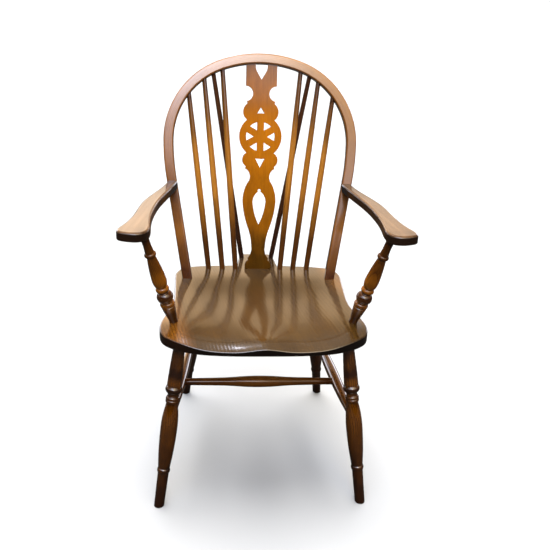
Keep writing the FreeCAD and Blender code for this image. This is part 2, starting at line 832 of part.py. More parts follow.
def make_leg(name, leg):
    """Turn one leg: ring, cove, cuff, long vase, ankle ring and foot."""
    head = leg.low_radius
    foot = leg.high_radius
    ring = named("leg_ring_diameter") / 2
    swell = named("leg_vase_diameter") / 2
    ankle = named("leg_ankle_diameter") / 2
    bead = named("leg_bead_height")
    top = named("leg_socket_depth")
    ring_at = top + named("leg_ring_drop")
    cuff_at = top + named("leg_cuff_drop")
    swell_at = top + named("leg_vase_drop")
    ankle_at = top + named("leg_ankle_drop")
    neck = (ring_at + bead * 0.55 + cuff_at - bead * 0.55) / 2
    swell_top = cuff_at + bead * 0.6
    swell_end = ankle_at - bead * 0.55
    return turned(name, [
        (head, 0.0),
        (head, top * 1.35),
        (head * 0.5 + ring * 0.46, (top + ring_at) / 2, ring * 0.87, ring_at - bead * 0.75),
        (ring * 0.82, ring_at - bead * 0.65),
        (ring * 0.87, ring_at - bead * 0.55),
        (ring, ring_at, ring * 0.85, ring_at + bead * 0.5),
        (ring * 0.76, ring_at + bead * 0.55),
        (ring * 0.65, neck, ring * 0.70, cuff_at - bead * 0.6),
        (ring * 0.76, cuff_at - bead * 0.55),
        (ring * 0.815, cuff_at - bead * 0.275, ring * 0.77, cuff_at),
        (ring * 0.815, cuff_at + bead * 0.275, ring * 0.75, cuff_at + bead * 0.55),
        (swell * 0.66, swell_top),
        (swell * 0.894, swell_top * 0.56 + swell_at * 0.44, swell, swell_at),
        (swell * 0.928, (swell_at + swell_end) / 2, ankle, swell_end),
        (ankle * 0.97, ankle_at - bead * 0.45),
        (ankle * 1.11, ankle_at, ankle * 0.97, ankle_at + bead * 0.45),
        (ankle * 0.94, ankle_at + bead * 0.55),
        (foot, leg.length + foot.value * 2),
    ])


# Stretchers: a swelling rod between each front and rear leg, and one across the two.
def on_leg(leg, height):
    """The point of a leg's axis at a height above the floor."""
    share = (height - leg.high.z) / (leg.low.z - leg.high.z)
    return leg.high + (leg.low - leg.high) * share


def rod(start, end, overrun, end_radius):
    """A rod whose round ends run a little past the axes of the pieces it joins."""
    run = end - start
    run.normalize()
    return Stick(start, end + run * overrun, overrun, end_radius, end_radius)


def make_rod(name, stick, swell_radius, end_run):
    """Turn one side stretcher: straight ends and a long swell between them."""
    body = turned(name, [
        (stick.low_radius, 0.0),
        (stick.low_radius, end_run),
        (swell_radius, stick.length / 2, stick.high_radius, stick.length - end_run),
        (stick.high_radius, stick.length),
    ])
    body.Placement = along(stick.low, stick.high)
    return body


def make_bulbed_rod(name, stick, bulb_radius, end_run):
    """Turn the cross stretcher: tapering arms that run up to a bulb in the middle."""
    half = stick.length / 2
    swell = bulb_radius - stick.low_radius
    taper = stick.low_radius + swell * 0.16
    flare = stick.low_radius + swell * 0.29
    bulb_edge = stick.low_radius + swell * 0.56
    body = turned(name, [
        (stick.low_radius, 0.0),
        (stick.low_radius, end_run),
        (taper, half * 0.44),
        (flare, half * 0.59, bulb_edge, half * 0.72),
        (bulb_radius, half, bulb_edge, half * 1.28),
        (flare, half * 1.41, taper, half * 1.56),
        (stick.high_radius, stick.length - end_run),
        (stick.high_radius, stick.length),
    ])
    body.Placement = along(stick.low, stick.high)
    return body


leg_reach = number("leg_vase_diameter")
side_overrun = number("stretcher_socket_depth") - number("leg_vase_diameter") / 2
cross_overrun = number("cross_socket_depth") - number("side_stretcher_diameter") / 2
side_rods = {}
leg_sockets = {}
cross_ends = {}
for side_name, side in SIDES:
    front_end = on_leg(legs[f"leg_front_{side_name}"], number("side_stretcher_front_height"))
    rear_end = on_leg(legs[f"leg_rear_{side_name}"], number("side_stretcher_rear_height"))
    side_rod = rod(front_end, rear_end, side_overrun, named("stretcher_end_diameter") / 2)
    side_rods[side_name] = side_rod
    leg_sockets[f"leg_front_{side_name}"] = side_rod.low_socket(
        f"FrontLegSocket{side_name}", leg_reach * 1.5)
    leg_sockets[f"leg_rear_{side_name}"] = side_rod.high_socket(
        f"RearLegSocket{side_name}", leg_reach * 1.5)
    cross_ends[side_name] = front_end + (rear_end - front_end) * number("cross_stretcher_place")
cross_rod = rod(cross_ends["right"], cross_ends["left"], cross_overrun, named("cross_end_diameter") / 2)
cross_reach = number("side_stretcher_diameter") * 1.25
side_sockets = {
    "right": cross_rod.low_socket("CrossSocketright", cross_reach),
    "left": cross_rod.high_socket("CrossSocketleft", cross_reach),
}
for side_name, side_rod in side_rods.items():
    side_body = make_rod(f"SideRod{side_name}", side_rod, named("side_stretcher_diameter") / 2,
                         leg_reach)
    sub_parts[f"side_stretcher_{side_name}"] = cut(
        f"side_stretcher_{side_name}", side_body, [side_sockets[side_name]])
sub_parts["cross_stretcher"] = make_bulbed_rod(
    "cross_stretcher", cross_rod, named("cross_stretcher_diameter") / 2, cross_reach)
under_floor = all_below("UnderFloor", 0)
for leg_name, leg in legs.items():
    leg_body = make_leg(f"Turning_{leg_name}", leg)
    leg_body.Placement = along(leg.low, leg.high)
    sub_parts[leg_name] = cut(leg_name, leg_body, [under_floor, leg_sockets[leg_name]])

# Arm posts: turned between the seat and the arms.
arm_underside = number("arm_height") - number("arm_thickness")
post_foot = seat_half.value - number("post_foot_inset")
post_head = post_foot + number("post_splay")
post_head_reach = number("post_foot_reach") + number("post_lean")
posts = {}
for side_name, side in SIDES:
    low = at(side * post_foot, -number("post_foot_reach"), seat_top)
    high = at(side * post_head, -post_head_reach, arm_underside)
    lean = high - low
    lean.normalize()
    posts[side_name] = Stick(
        low, high + lean * number("post_head_socket_depth"), number("post_socket_depth"),
        named("post_foot_diameter") / 2, named("post_head_diameter") / 2)


def make_post(name, post):
    """Turn one arm post: ring, bead, cuff, vase and collar."""
    foot = post.low_radius
    head = post.high_radius
    bead = named("post_bead_diameter") / 2
    swell = named("post_vase_diameter") / 2
    collar = named("post_collar_diameter") / 2
    base = named("post_socket_depth")
    ring_at = base + named("post_ring_rise")
    bead_at = base + named("post_bead_rise")
    cuff_at = base + named("post_cuff_rise")
    swell_at = base + named("post_vase_rise")
    collar_at = base + named("post_collar_rise")
    low_gap = (bead_at - ring_at) / 2
    high_gap = (cuff_at - bead_at) / 2
    collar_half = (collar_at - swell_at) * 0.075
    swell_low = cuff_at + high_gap * 0.6
    swell_high = collar_at - collar_half
    body = turned(name, [
        (foot, 0.0),
        (foot, base * 1.25),
        (foot * 0.55 + bead * 0.42, (base + ring_at) / 2, bead * 0.85, ring_at - low_gap * 0.7),
        (bead * 0.81, ring_at - low_gap * 0.6),
        (bead * 0.9, ring_at, bead * 0.78, ring_at + low_gap * 0.5),
        (bead * 0.7, ring_at + low_gap * 0.6),
        (bead * 0.72, bead_at - low_gap * 1.15),
        (bead, bead_at, bead * 0.7, bead_at + high_gap * 1.05),
        (bead * 0.55, bead_at + high_gap * 1.3, bead * 0.62, cuff_at - high_gap * 0.5),
        (bead * 0.68, cuff_at - high_gap * 0.45),
        (bead * 0.81, cuff_at, bead * 0.7, cuff_at + high_gap * 0.5),
        (swell * 0.73, swell_low),
        (swell * 0.93, swell_low * 0.55 + swell_at * 0.45, swell, swell_at),
        (swell * 0.855, (swell_at + swell_high) / 2, head * 1.06, swell_high),
        (collar, collar_at, head * 1.15, collar_at + collar_half),
        (head, collar_at + collar_half * 4),
        (head, post.length),
    ])
    body.Placement = along(post.low, post.high)
    return body


for side_name, post in posts.items():
    sub_parts[f"arm_post_{side_name}"] = make_post(f"arm_post_{side_name}", post)

# Arms: a sawn paddle that swings out from the bow to the hand over the post, with places
# given as shares of the way from bow to post and of the hand's width off that line.
ARM_EDGE = [
    (-0.08, 0.18), (0.02, 0.175), (0.157, 0.24), (0.339, 0.455), (0.507, 0.615), (0.70, 0.635),
    (0.877, 0.705), (0.963, 0.815), (1.014, 0.865), (1.052, 0.79), (1.077, 0.54), (1.087, 0.225),
    (1.071, -0.05), (1.031, -0.165), (0.963, -0.166), (0.872, -0.08), (0.744, 0.014), (0.60, 0.048),
    (0.444, 0.02), (0.324, -0.055), (0.09, -0.2), (0.02, -0.23), (-0.08, -0.27),
]
behind_bow_front = block("BehindBowFront", bow_place.multiply(Placement(
    Vector(-far / 2, -number("bow_thickness") / 2, 0), flat_turn)), far, far, far)


def flat_edges(shape, low, high):
    """Names of the level edges between two heights."""
    names = []
    for index, edge in enumerate(shape.Edges, start=1):
        box = edge.BoundBox
        if box.ZLength < LEVEL and low < box.Center.z < high:
            names.append(f"Edge{index}")
    return names


def rounded(name, body, base, edges, alias):
    """Round edges of a body by a radius of the sheet."""
    fillet = body.newObject("PartDesign::Fillet", name)
    fillet.Base = (base, edges)
    fillet.setExpression("Radius", f"Sizes.{alias}")
    body.Tip = fillet
    return fillet


def make_arm(side_name, side):
    """Saw one arm, round its edges, and fit it to the bow, the post and the screw."""
    body = doc.addObject("PartDesign::Body", f"ArmBoard{side_name}")
    sketch = new_sketch(body, f"ArmFace{side_name}", "XY_Plane")
    line_x = post_head - anchor.x
    line_y = -post_head_reach - middle - anchor.y
    width = number("arm_width")
    places = []
    for run_share, off_share in ARM_EDGE:
        across = anchor.x + run_share * line_x + off_share * width
        places.append((side * across, anchor.y + run_share * line_y))
    outline = Outline(sketch, *places[0])
    setting_out = Vector(*places[1]) - Vector(*places[0])
    coming_back = Vector(*places[-1]) - Vector(*places[-2])
    outline.spline(places[1:], setting_out, coming_back)
    outline.line(*places[0])
    outline.close()
    pad = padded(f"ArmPad{side_name}", sketch, body, named("arm_thickness"))
    doc.recompute()
    thickness = number("arm_thickness")
    top_edges = [name for name in flat_edges(pad.Shape, thickness / 2, thickness * 2)
                 if pad.Shape.getElement(name).Length > width * 2]
    top_round = rounded(f"ArmTopRound{side_name}", body, pad, top_edges, "arm_top_round")
    doc.recompute()
    low_edges = [name for name in flat_edges(top_round.Shape, -thickness / 4, thickness / 4)
                 if top_round.Shape.getElement(name).Length > width * 2]
    rounded(f"ArmLowRound{side_name}", body, top_round, low_edges, "arm_bottom_round")
    body.Placement = Placement(Vector(0, 0, arm_underside), flat_turn)
    post_socket = posts[side_name].high_socket(f"ArmSocket{side_name}", number("arm_thickness") * 2)
    return cut(f"arm_{side_name}", body, [behind_bow_front, post_socket, arm_screw_tools[side_name]])


for side_name, side in SIDES:
    sub_parts[f"arm_{side_name}"] = make_arm(side_name, side)

# Seat: a sawn board, hollowed to a saddle, with rounded edges.
SEAT_EDGE = [
    (0.44, 0.006), (0.642, 0.022), (0.80, 0.054), (0.905, 0.090), (0.962, 0.123), (0.993, 0.170),
    (1.0, 0.222), (0.985, 0.280), (0.950, 0.342), (0.9075, 0.420), (0.893, 0.513), (0.900, 0.643),
    (0.911, 0.773), (0.9075, 0.8665), (0.840, 0.939), (0.693, 0.974), (0.399, 0.991), (0.0, 1.0),
]
seat_front = -number("seat_front_reach")
seat_run = number("seat_depth")
seat_back = seat_front + seat_run


def seat_point(x_share, y_share, side=1.0):
    """A point of the seat's plan, by shares of its half width and of its depth from the front."""
    return side * x_share * seat_half.value, seat_front + y_share * seat_run - middle


seat_body = doc.addObject("PartDesign::Body", "SeatBoard")
seat_sketch = new_sketch(seat_body, "SeatPlan", "XY_Plane")
seat_outline = Outline(seat_sketch, *seat_point(0.0, 0.0))
seat_outline.spline([seat_point(*share) for share in SEAT_EDGE], Vector(1, 0, 0), Vector(-1, 0, 0))
left_edge = [seat_point(*share, -1.0) for share in reversed(SEAT_EDGE[:-1])]
seat_outline.spline(left_edge + [seat_point(0.0, 0.0)], Vector(-1, 0, 0), Vector(1, 0, 0))
seat_outline.close()
seat_pad = padded("SeatPad", seat_sketch, seat_body, named("seat_thickness") + named("seat_top_round"))
doc.recompute()
seat_quarter = number("seat_thickness") / 4
low_rim = flat_edges(seat_pad.Shape, -seat_quarter, seat_quarter)
rounded("SeatLowRound", seat_body, seat_pad, low_rim, "seat_bottom_round")
seat_body.Placement = Placement(Vector(0, 0, seat_underside), flat_turn)


# How far the saddle's forms reach, in shares of the half width and of the depth.
HOLLOW_SIDE = 0.72
HOLLOW_BACK = 0.73
FRONT_FALL = 0.17
POMMEL_REACH = 0.179
ROLL_REACH = 0.10
ROLL_END = 0.50
ROLL_FADE = 0.10
RIM_SQUARENESS = 5.4


def saddle(x_share, y_share):
    """Depth of the saddle below the seat's height, at shares of the half width and of the depth."""
    hollow = math.exp(-((x_share / HOLLOW_SIDE) ** 6)) * math.exp(-((y_share / HOLLOW_BACK) ** 8))
    front = math.exp(-((y_share / FRONT_FALL) ** 2))
    pommel = math.exp(-((x_share / POMMEL_REACH) ** 2))
    across = abs(x_share) ** RIM_SQUARENESS
    rim = (across + abs(1 - 2 * y_share) ** RIM_SQUARENESS) ** (1 / RIM_SQUARENESS)
    roll = math.exp(-(((1 - min(rim, 1.0)) / ROLL_REACH) ** 2))
    roll *= 0.5 - 0.5 * math.tanh((y_share - ROLL_END) / ROLL_FADE)
    dip = number("saddle_front_dip") - number("saddle_pommel_rise") * pommel
    return number("saddle_depth") * hollow + dip * front + number("saddle_rim_roll") * roll


SADDLE_COLUMNS = 41
SADDLE_ROWS = 33
saddle_net = []
for column in range(SADDLE_COLUMNS):
    x_share = -1.15 + 2.3 * column / (SADDLE_COLUMNS - 1)
    net_line = []
    for net_row in range(SADDLE_ROWS):
        y_share = -0.1 + 1.2 * net_row / (SADDLE_ROWS - 1)
        x, y = seat_point(x_share, y_share)
        net_line.append(Vector(x, y, seat_top - saddle(x_share, y_share)))
    saddle_net.append(net_line)
saddle_surface = Part.BSplineSurface()
saddle_surface.interpolate(saddle_net)
saddle_tool = doc.addObject("Part::Feature", "SaddleTool")
saddle_tool.Shape = saddle_surface.toShape().extrude(Vector(0, 0, number("seat_thickness")))
saddled = cut("SeatSaddled", seat_body, [saddle_tool])
doc.recompute()
saddle_face = max(saddled.Shape.Faces, key=lambda face: face.CenterOfMass.z * face.Area)
rim_edges = []
for index, edge in enumerate(saddled.Shape.Edges, start=1):
    if any(edge.isSame(rim) for rim in saddle_face.Edges):
        rim_edges.append((index, number("seat_top_round"), number("seat_top_round")))
seat_rounded = doc.addObject("Part::Fillet", "SeatRounded")
seat_rounded.Base = saddled
seat_rounded.Edges = rim_edges

# Tail block: let into the seat's back edge and tongued, it takes the brace sticks.
tail_front = seat_back - number("tail_let_in")
tail_place = Placement(at(0, tail_front, seat_top), flat_turn)
tail_body = doc.addObject("PartDesign::Body", "TailBoard")
tail_sketch = new_sketch(tail_body, "TailPlan", "XY_Plane")
tail_half = named("tail_width") / 2
tail_end_half = named("tail_end_width") / 2
tail_length = named("tail_length")
corner = named("tail_corner_round")
corner_mid = corner - corner * math.sqrt(0.5)
tail_outline = Outline(tail_sketch, -tail_half, 0)
tail_outline.line(tail_half, 0)
tail_outline.line(tail_end_half, tail_length - corner)
turn_x = tail_end_half - corner_mid
turn_y = tail_length - corner_mid
tail_outline.arc(turn_x, turn_y, tail_end_half - corner, tail_length)
tail_outline.line(-(tail_end_half - corner), tail_length)
tail_outline.arc(-turn_x, turn_y, -tail_end_half, tail_length - corner)
tail_outline.line(-tail_half, 0)
tail_outline.close()
tail_pad = padded("TailPad", tail_sketch, tail_body, named("tail_thickness"))
tail_pad.Reversed = True
doc.recompute()
tail_deep = number("tail_thickness")
free_edges = [name for name in flat_edges(tail_pad.Shape, -tail_deep * 1.5, tail_deep / 2)
              if tail_pad.Shape.getElement(name).BoundBox.YMax > tail_deep / 4]
rounded("TailRound", tail_body, tail_pad, free_edges, "tail_edge_round")
tail_body.Placement = tail_place


def tongue(name, grow, reach, overlap):
    """The tongue on the tail's front, or its mortise when grown by a gap."""
    gap = as_size(grow)
    width = named("tail_tongue_width") + gap * 2
    thickness = named("tail_tongue_thickness") + gap * 2
    floor = -number("tail_tongue_drop") - thickness.value / 2
    place = tail_place.multiply(Placement(Vector(-width.value / 2, -reach.value, floor), flat_turn))
    return block(name, place, width, reach + overlap, thickness)


tongue_reach = named("tail_tongue_length")
tail_tongue = tongue("TailTongue", 0, tongue_reach, named("tail_let_in"))
tail_joined = fused("TailWithTongue", [tail_body, tail_tongue])
tail_sockets = []
for brace_name, brace in braces.items():
    tail_sockets.append(brace.low_socket(f"Foot_{brace_name}", number("brace_socket_depth") * 2))
sub_parts["seat_tail"] = cut("seat_tail", tail_joined, tail_sockets)
tail_mortise = tongue("TailMortise", glue_gap, tongue_reach + socket_spare, named("tail_let_in"))
notch_half = number("tail_width") / 2 + number("glue_gap")
notch_corner = at(-notch_half, tail_front, seat_underside - far / 4)
tail_notch = block("TailNotch", Placement(notch_corner, flat_turn), tail_half * 2 + glue_gap * 2, far, far)

# The seat takes the legs, posts, bow, sticks, splat and tail.
seat_tools = bow_bores + [seat_splat_slot, tail_notch, tail_mortise]
for stick_name, stick in sticks.items():
    seat_tools.append(stick.low_socket(f"Foot_{stick_name}", number("stick_socket_depth") * 2))
for side_name, post in posts.items():
    seat_tools.append(post.low_socket(f"PostFoot{side_name}", number("post_socket_depth") * 2))
for leg_name, leg in legs.items():
    seat_tools.append(leg.low_socket(f"Head_{leg_name}", number("leg_socket_depth") * 2))
sub_parts["seat"] = cut("seat", seat_rounded, seat_tools)

doc.recompute()
for item in doc.Objects:
    if "Invalid" in item.State or "Error" in item.State:
        raise RuntimeError(f"{item.Name} did not build: {item.getStatusString()}")
os.makedirs("parts", exist_ok=True)
for part_name, part in sub_parts.items():
    if part.Shape.isNull() or not part.Shape.isValid() or len(part.Shape.Solids) != 1:
        raise RuntimeError(f"{part_name} is not one sound solid")
    part.Label = part_name
    part.Shape.exportStep(f"parts/{part_name}.step")
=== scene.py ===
"""Looks of a wheel back armchair in stained and lacquered wood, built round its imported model."""

import logging
import math
from dataclasses import dataclass, replace
from enum import Enum
from typing import Optional, Union

import bpy
import numpy as np
from mathutils import Euler, Matrix, Vector


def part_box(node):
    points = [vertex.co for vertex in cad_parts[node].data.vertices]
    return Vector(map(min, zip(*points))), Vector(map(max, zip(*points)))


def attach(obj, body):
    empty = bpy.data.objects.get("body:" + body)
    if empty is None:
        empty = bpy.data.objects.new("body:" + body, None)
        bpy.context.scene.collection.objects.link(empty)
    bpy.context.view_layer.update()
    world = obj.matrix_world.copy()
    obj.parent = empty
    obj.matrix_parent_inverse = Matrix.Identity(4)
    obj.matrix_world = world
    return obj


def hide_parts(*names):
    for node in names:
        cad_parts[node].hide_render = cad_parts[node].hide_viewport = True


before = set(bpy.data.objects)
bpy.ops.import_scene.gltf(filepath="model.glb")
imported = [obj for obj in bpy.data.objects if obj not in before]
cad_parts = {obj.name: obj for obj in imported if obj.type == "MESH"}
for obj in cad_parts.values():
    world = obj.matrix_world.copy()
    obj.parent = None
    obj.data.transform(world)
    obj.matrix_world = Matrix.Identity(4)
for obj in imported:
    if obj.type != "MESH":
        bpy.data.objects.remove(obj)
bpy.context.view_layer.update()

BODY = "root"
SIDES = ("left", "right")
MILLIMETRE = 0.001
MERGE_GAP = 0.01 * MILLIMETRE
GRAIN_ATTRIBUTE = "grain_place"
FLOAT = "NodeSocketFloat"
COLOUR = "NodeSocketColor"
VECTOR = "NodeSocketVector"
NOISE_RANGE = (0.3, 0.7)

Colour = tuple[float, float, float]
Place = tuple[float, float, float]
Socket = bpy.types.NodeSocket
Value = Union[Socket, float]
Stops = tuple[tuple[float, float], ...]

logging.basicConfig(level=logging.INFO, format="%(levelname)s %(message)s")
log = logging.getLogger("wheel_back_armchair")


class Slot(Enum):
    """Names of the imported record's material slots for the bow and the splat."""

    BOW = "bow_wood"
    SPLAT = "splat_wood"


class GrainSource(Enum):
    """Where a material reads the place of a point in its timber from."""

    OBJECT = "object"
    ATTRIBUTE = "attribute"


@dataclass(frozen=True)
class Streak:
    """A noise that is drawn out along the fibres.

    Attributes:
        cells: cells in a metre across the fibres.
        along: cells along the fibres for each one across them.
        detail: octaves.
        roughness: share of each finer octave.
    """

    cells: float
    along: float = 1.0
    detail: float = 2.0
    roughness: float = 0.5


class NodeBench:
    """Places shader nodes in one node tree and links them."""

    def __init__(self, tree: bpy.types.NodeTree) -> None:
        """Start on a node tree.

        Args:
            tree: the material's or the group's node tree.
        """
        self.tree = tree
        self.column = 0

    def add(self, kind: str, **settings: object) -> bpy.types.Node:
        """Add a node and set its own properties.

        Args:
            kind: Blender's name for the node type.
            settings: properties of the node and their values.

        Returns:
            The new node.
        """
        node = self.tree.nodes.new(kind)
        node.location = (self.column * 190.0, 0.0)
        self.column += 1
        for name, value in settings.items():
            setattr(node, name, value)
        return node

    def feed(self, target: Socket, value: object) -> None:
        """Link a socket to an input, or set the input to a plain value.

        Args:
            target: the input socket.
            value: another node's output socket, or a number, vector or colour.
        """
        if isinstance(value, bpy.types.NodeSocket):
            self.tree.links.new(value, target)
        else:
            target.default_value = value

    def math(self, operation: str, first: Value, second: Value = 0.0, clamp: bool = False) -> Socket:
        """Work out one value from two.

        Args:
            operation: the Math node's operation.
            first: the first number or socket.
            second: the second number or socket.
            clamp: whether the result is kept between 0 and 1.

        Returns:
            The result's socket.
        """
        node = self.add("ShaderNodeMath", operation=operation, use_clamp=clamp)
        self.feed(node.inputs[0], first)
        self.feed(node.inputs[1], second)
        return node.outputs[0]

    def vector(self, operation: str, first: object, second: object = (0.0, 0.0, 0.0)) -> Socket:
        """Work out one vector from two, or its length.

        Args:
            operation: the Vector Math node's operation.
            first: the first vector or socket.
            second: the second vector or socket.

        Returns:
            The result's socket, a number's for LENGTH.
        """
        node = self.add("ShaderNodeVectorMath", operation=operation)
        self.feed(node.inputs[0], first)
        self.feed(node.inputs[1], second)
        return node.outputs["Value" if operation == "LENGTH" else "Vector"]

    def noise(self, place: Socket, streak: Streak, output: str = "Fac") -> Socket:
        """Add a noise.

        Args:
            place: the place in the timber, with Z along the fibres.
            streak: the noise's sizes.
            output: Fac for a value, Color for three values.

        Returns:
            The noise's socket.
        """
        node = self.add("ShaderNodeTexNoise")
        self.feed(node.inputs["Vector"], self.vector("MULTIPLY", place, (1.0, 1.0, streak.along)))
        node.inputs["Scale"].default_value = streak.cells
        node.inputs["Detail"].default_value = streak.detail
        node.inputs["Roughness"].default_value = streak.roughness
        return node.outputs[output]

    def remap(self, value: Value, low: Value, high: Value, to_low: Value = 0.0, to_high: Value = 1.0,
              smooth: bool = False) -> Socket:
        """Carry a value from one range to another, held at its ends.

        Args:
            value: the value to carry over.
            low: start of its range.
            high: end of its range.
            to_low: what the start becomes.
            to_high: what the end becomes.
            smooth: whether the ends are eased.

        Returns:
            The result's socket.
        """
        node = self.add("ShaderNodeMapRange", interpolation_type="SMOOTHSTEP" if smooth else "LINEAR")
        for name, number in (("Value", value), ("From Min", low), ("From Max", high),
                             ("To Min", to_low), ("To Max", to_high)):
            self.feed(node.inputs[name], number)
        return node.outputs["Result"]

    def mix(self, amount: Value, first: object, second: object, blend: str = "MIX") -> Socket:
        """Mix two colours.

        Args:
            amount: share of the second colour.
            first: the first colour or socket.
            second: the second colour or socket.
            blend: the way of mixing.

        Returns:
            The mixed colour's socket.
        """
        node = self.add("ShaderNodeMix", data_type="RGBA", blend_type=blend, clamp_factor=True)
        self.feed(node.inputs["Factor"], amount)
        for name, colour in (("A", first), ("B", second)):
            socket = next(s for s in node.inputs if s.name == name and s.type == "RGBA")
            self.feed(socket, (*colour, 1.0) if isinstance(colour, tuple) else colour)
        return next(s for s in node.outputs if s.type == "RGBA")

    def ramp(self, value: Socket, stops: list[tuple[float, Colour]], ease: str = "LINEAR") -> Socket:
        """Turn a value into a colour along a row of stops.

        Args:
            value: a value from 0 to 1.
            stops: places and colours, in order.
            ease: the way of passing from stop to stop.

        Returns:
            The colour's socket.
        """
        node = self.add("ShaderNodeValToRGB")
        node.color_ramp.interpolation = ease
        elements = node.color_ramp.elements
        while len(elements) < len(stops):
            elements.new(1.0)
        for element, (place, colour) in zip(elements, stops):
            element.position = place
            element.color = (*colour, 1.0)
        self.feed(node.inputs["Fac"], value)
        return node.outputs["Color"]

    def group(self, tree: bpy.types.NodeTree, **inputs: object) -> bpy.types.Node:
        """Place a node group and feed its inputs.

        Args:
            tree: the group.
            inputs: values by input name, with underscores for spaces.

        Returns:
            The group's node.
        """
        node = self.add("ShaderNodeGroup", node_tree=tree)
        for name, value in inputs.items():
            self.feed(node.inputs[name.replace("_", " ")], value)
        return node


def new_group(name: str, inputs: dict[str, str], outputs: dict[str, str]) -> tuple[
        bpy.types.NodeTree, bpy.types.NodeOutputs, bpy.types.NodeInputs]:
    """Make an empty shader node group.

    Args:
        name: the group's name.
        inputs: socket types of its inputs by name.
        outputs: socket types of its outputs by name.

    Returns:
        The group, what its input node gives and what its output node takes.
    """
    tree = bpy.data.node_groups.new(name, "ShaderNodeTree")
    for direction, sockets in (("INPUT", inputs), ("OUTPUT", outputs)):
        for label, kind in sockets.items():
            tree.interface.new_socket(label, in_out=direction, socket_type=kind)
    entry = tree.nodes.new("NodeGroupInput")
    leaving = tree.nodes.new("NodeGroupOutput")
    return tree, entry.outputs, leaving.inputs


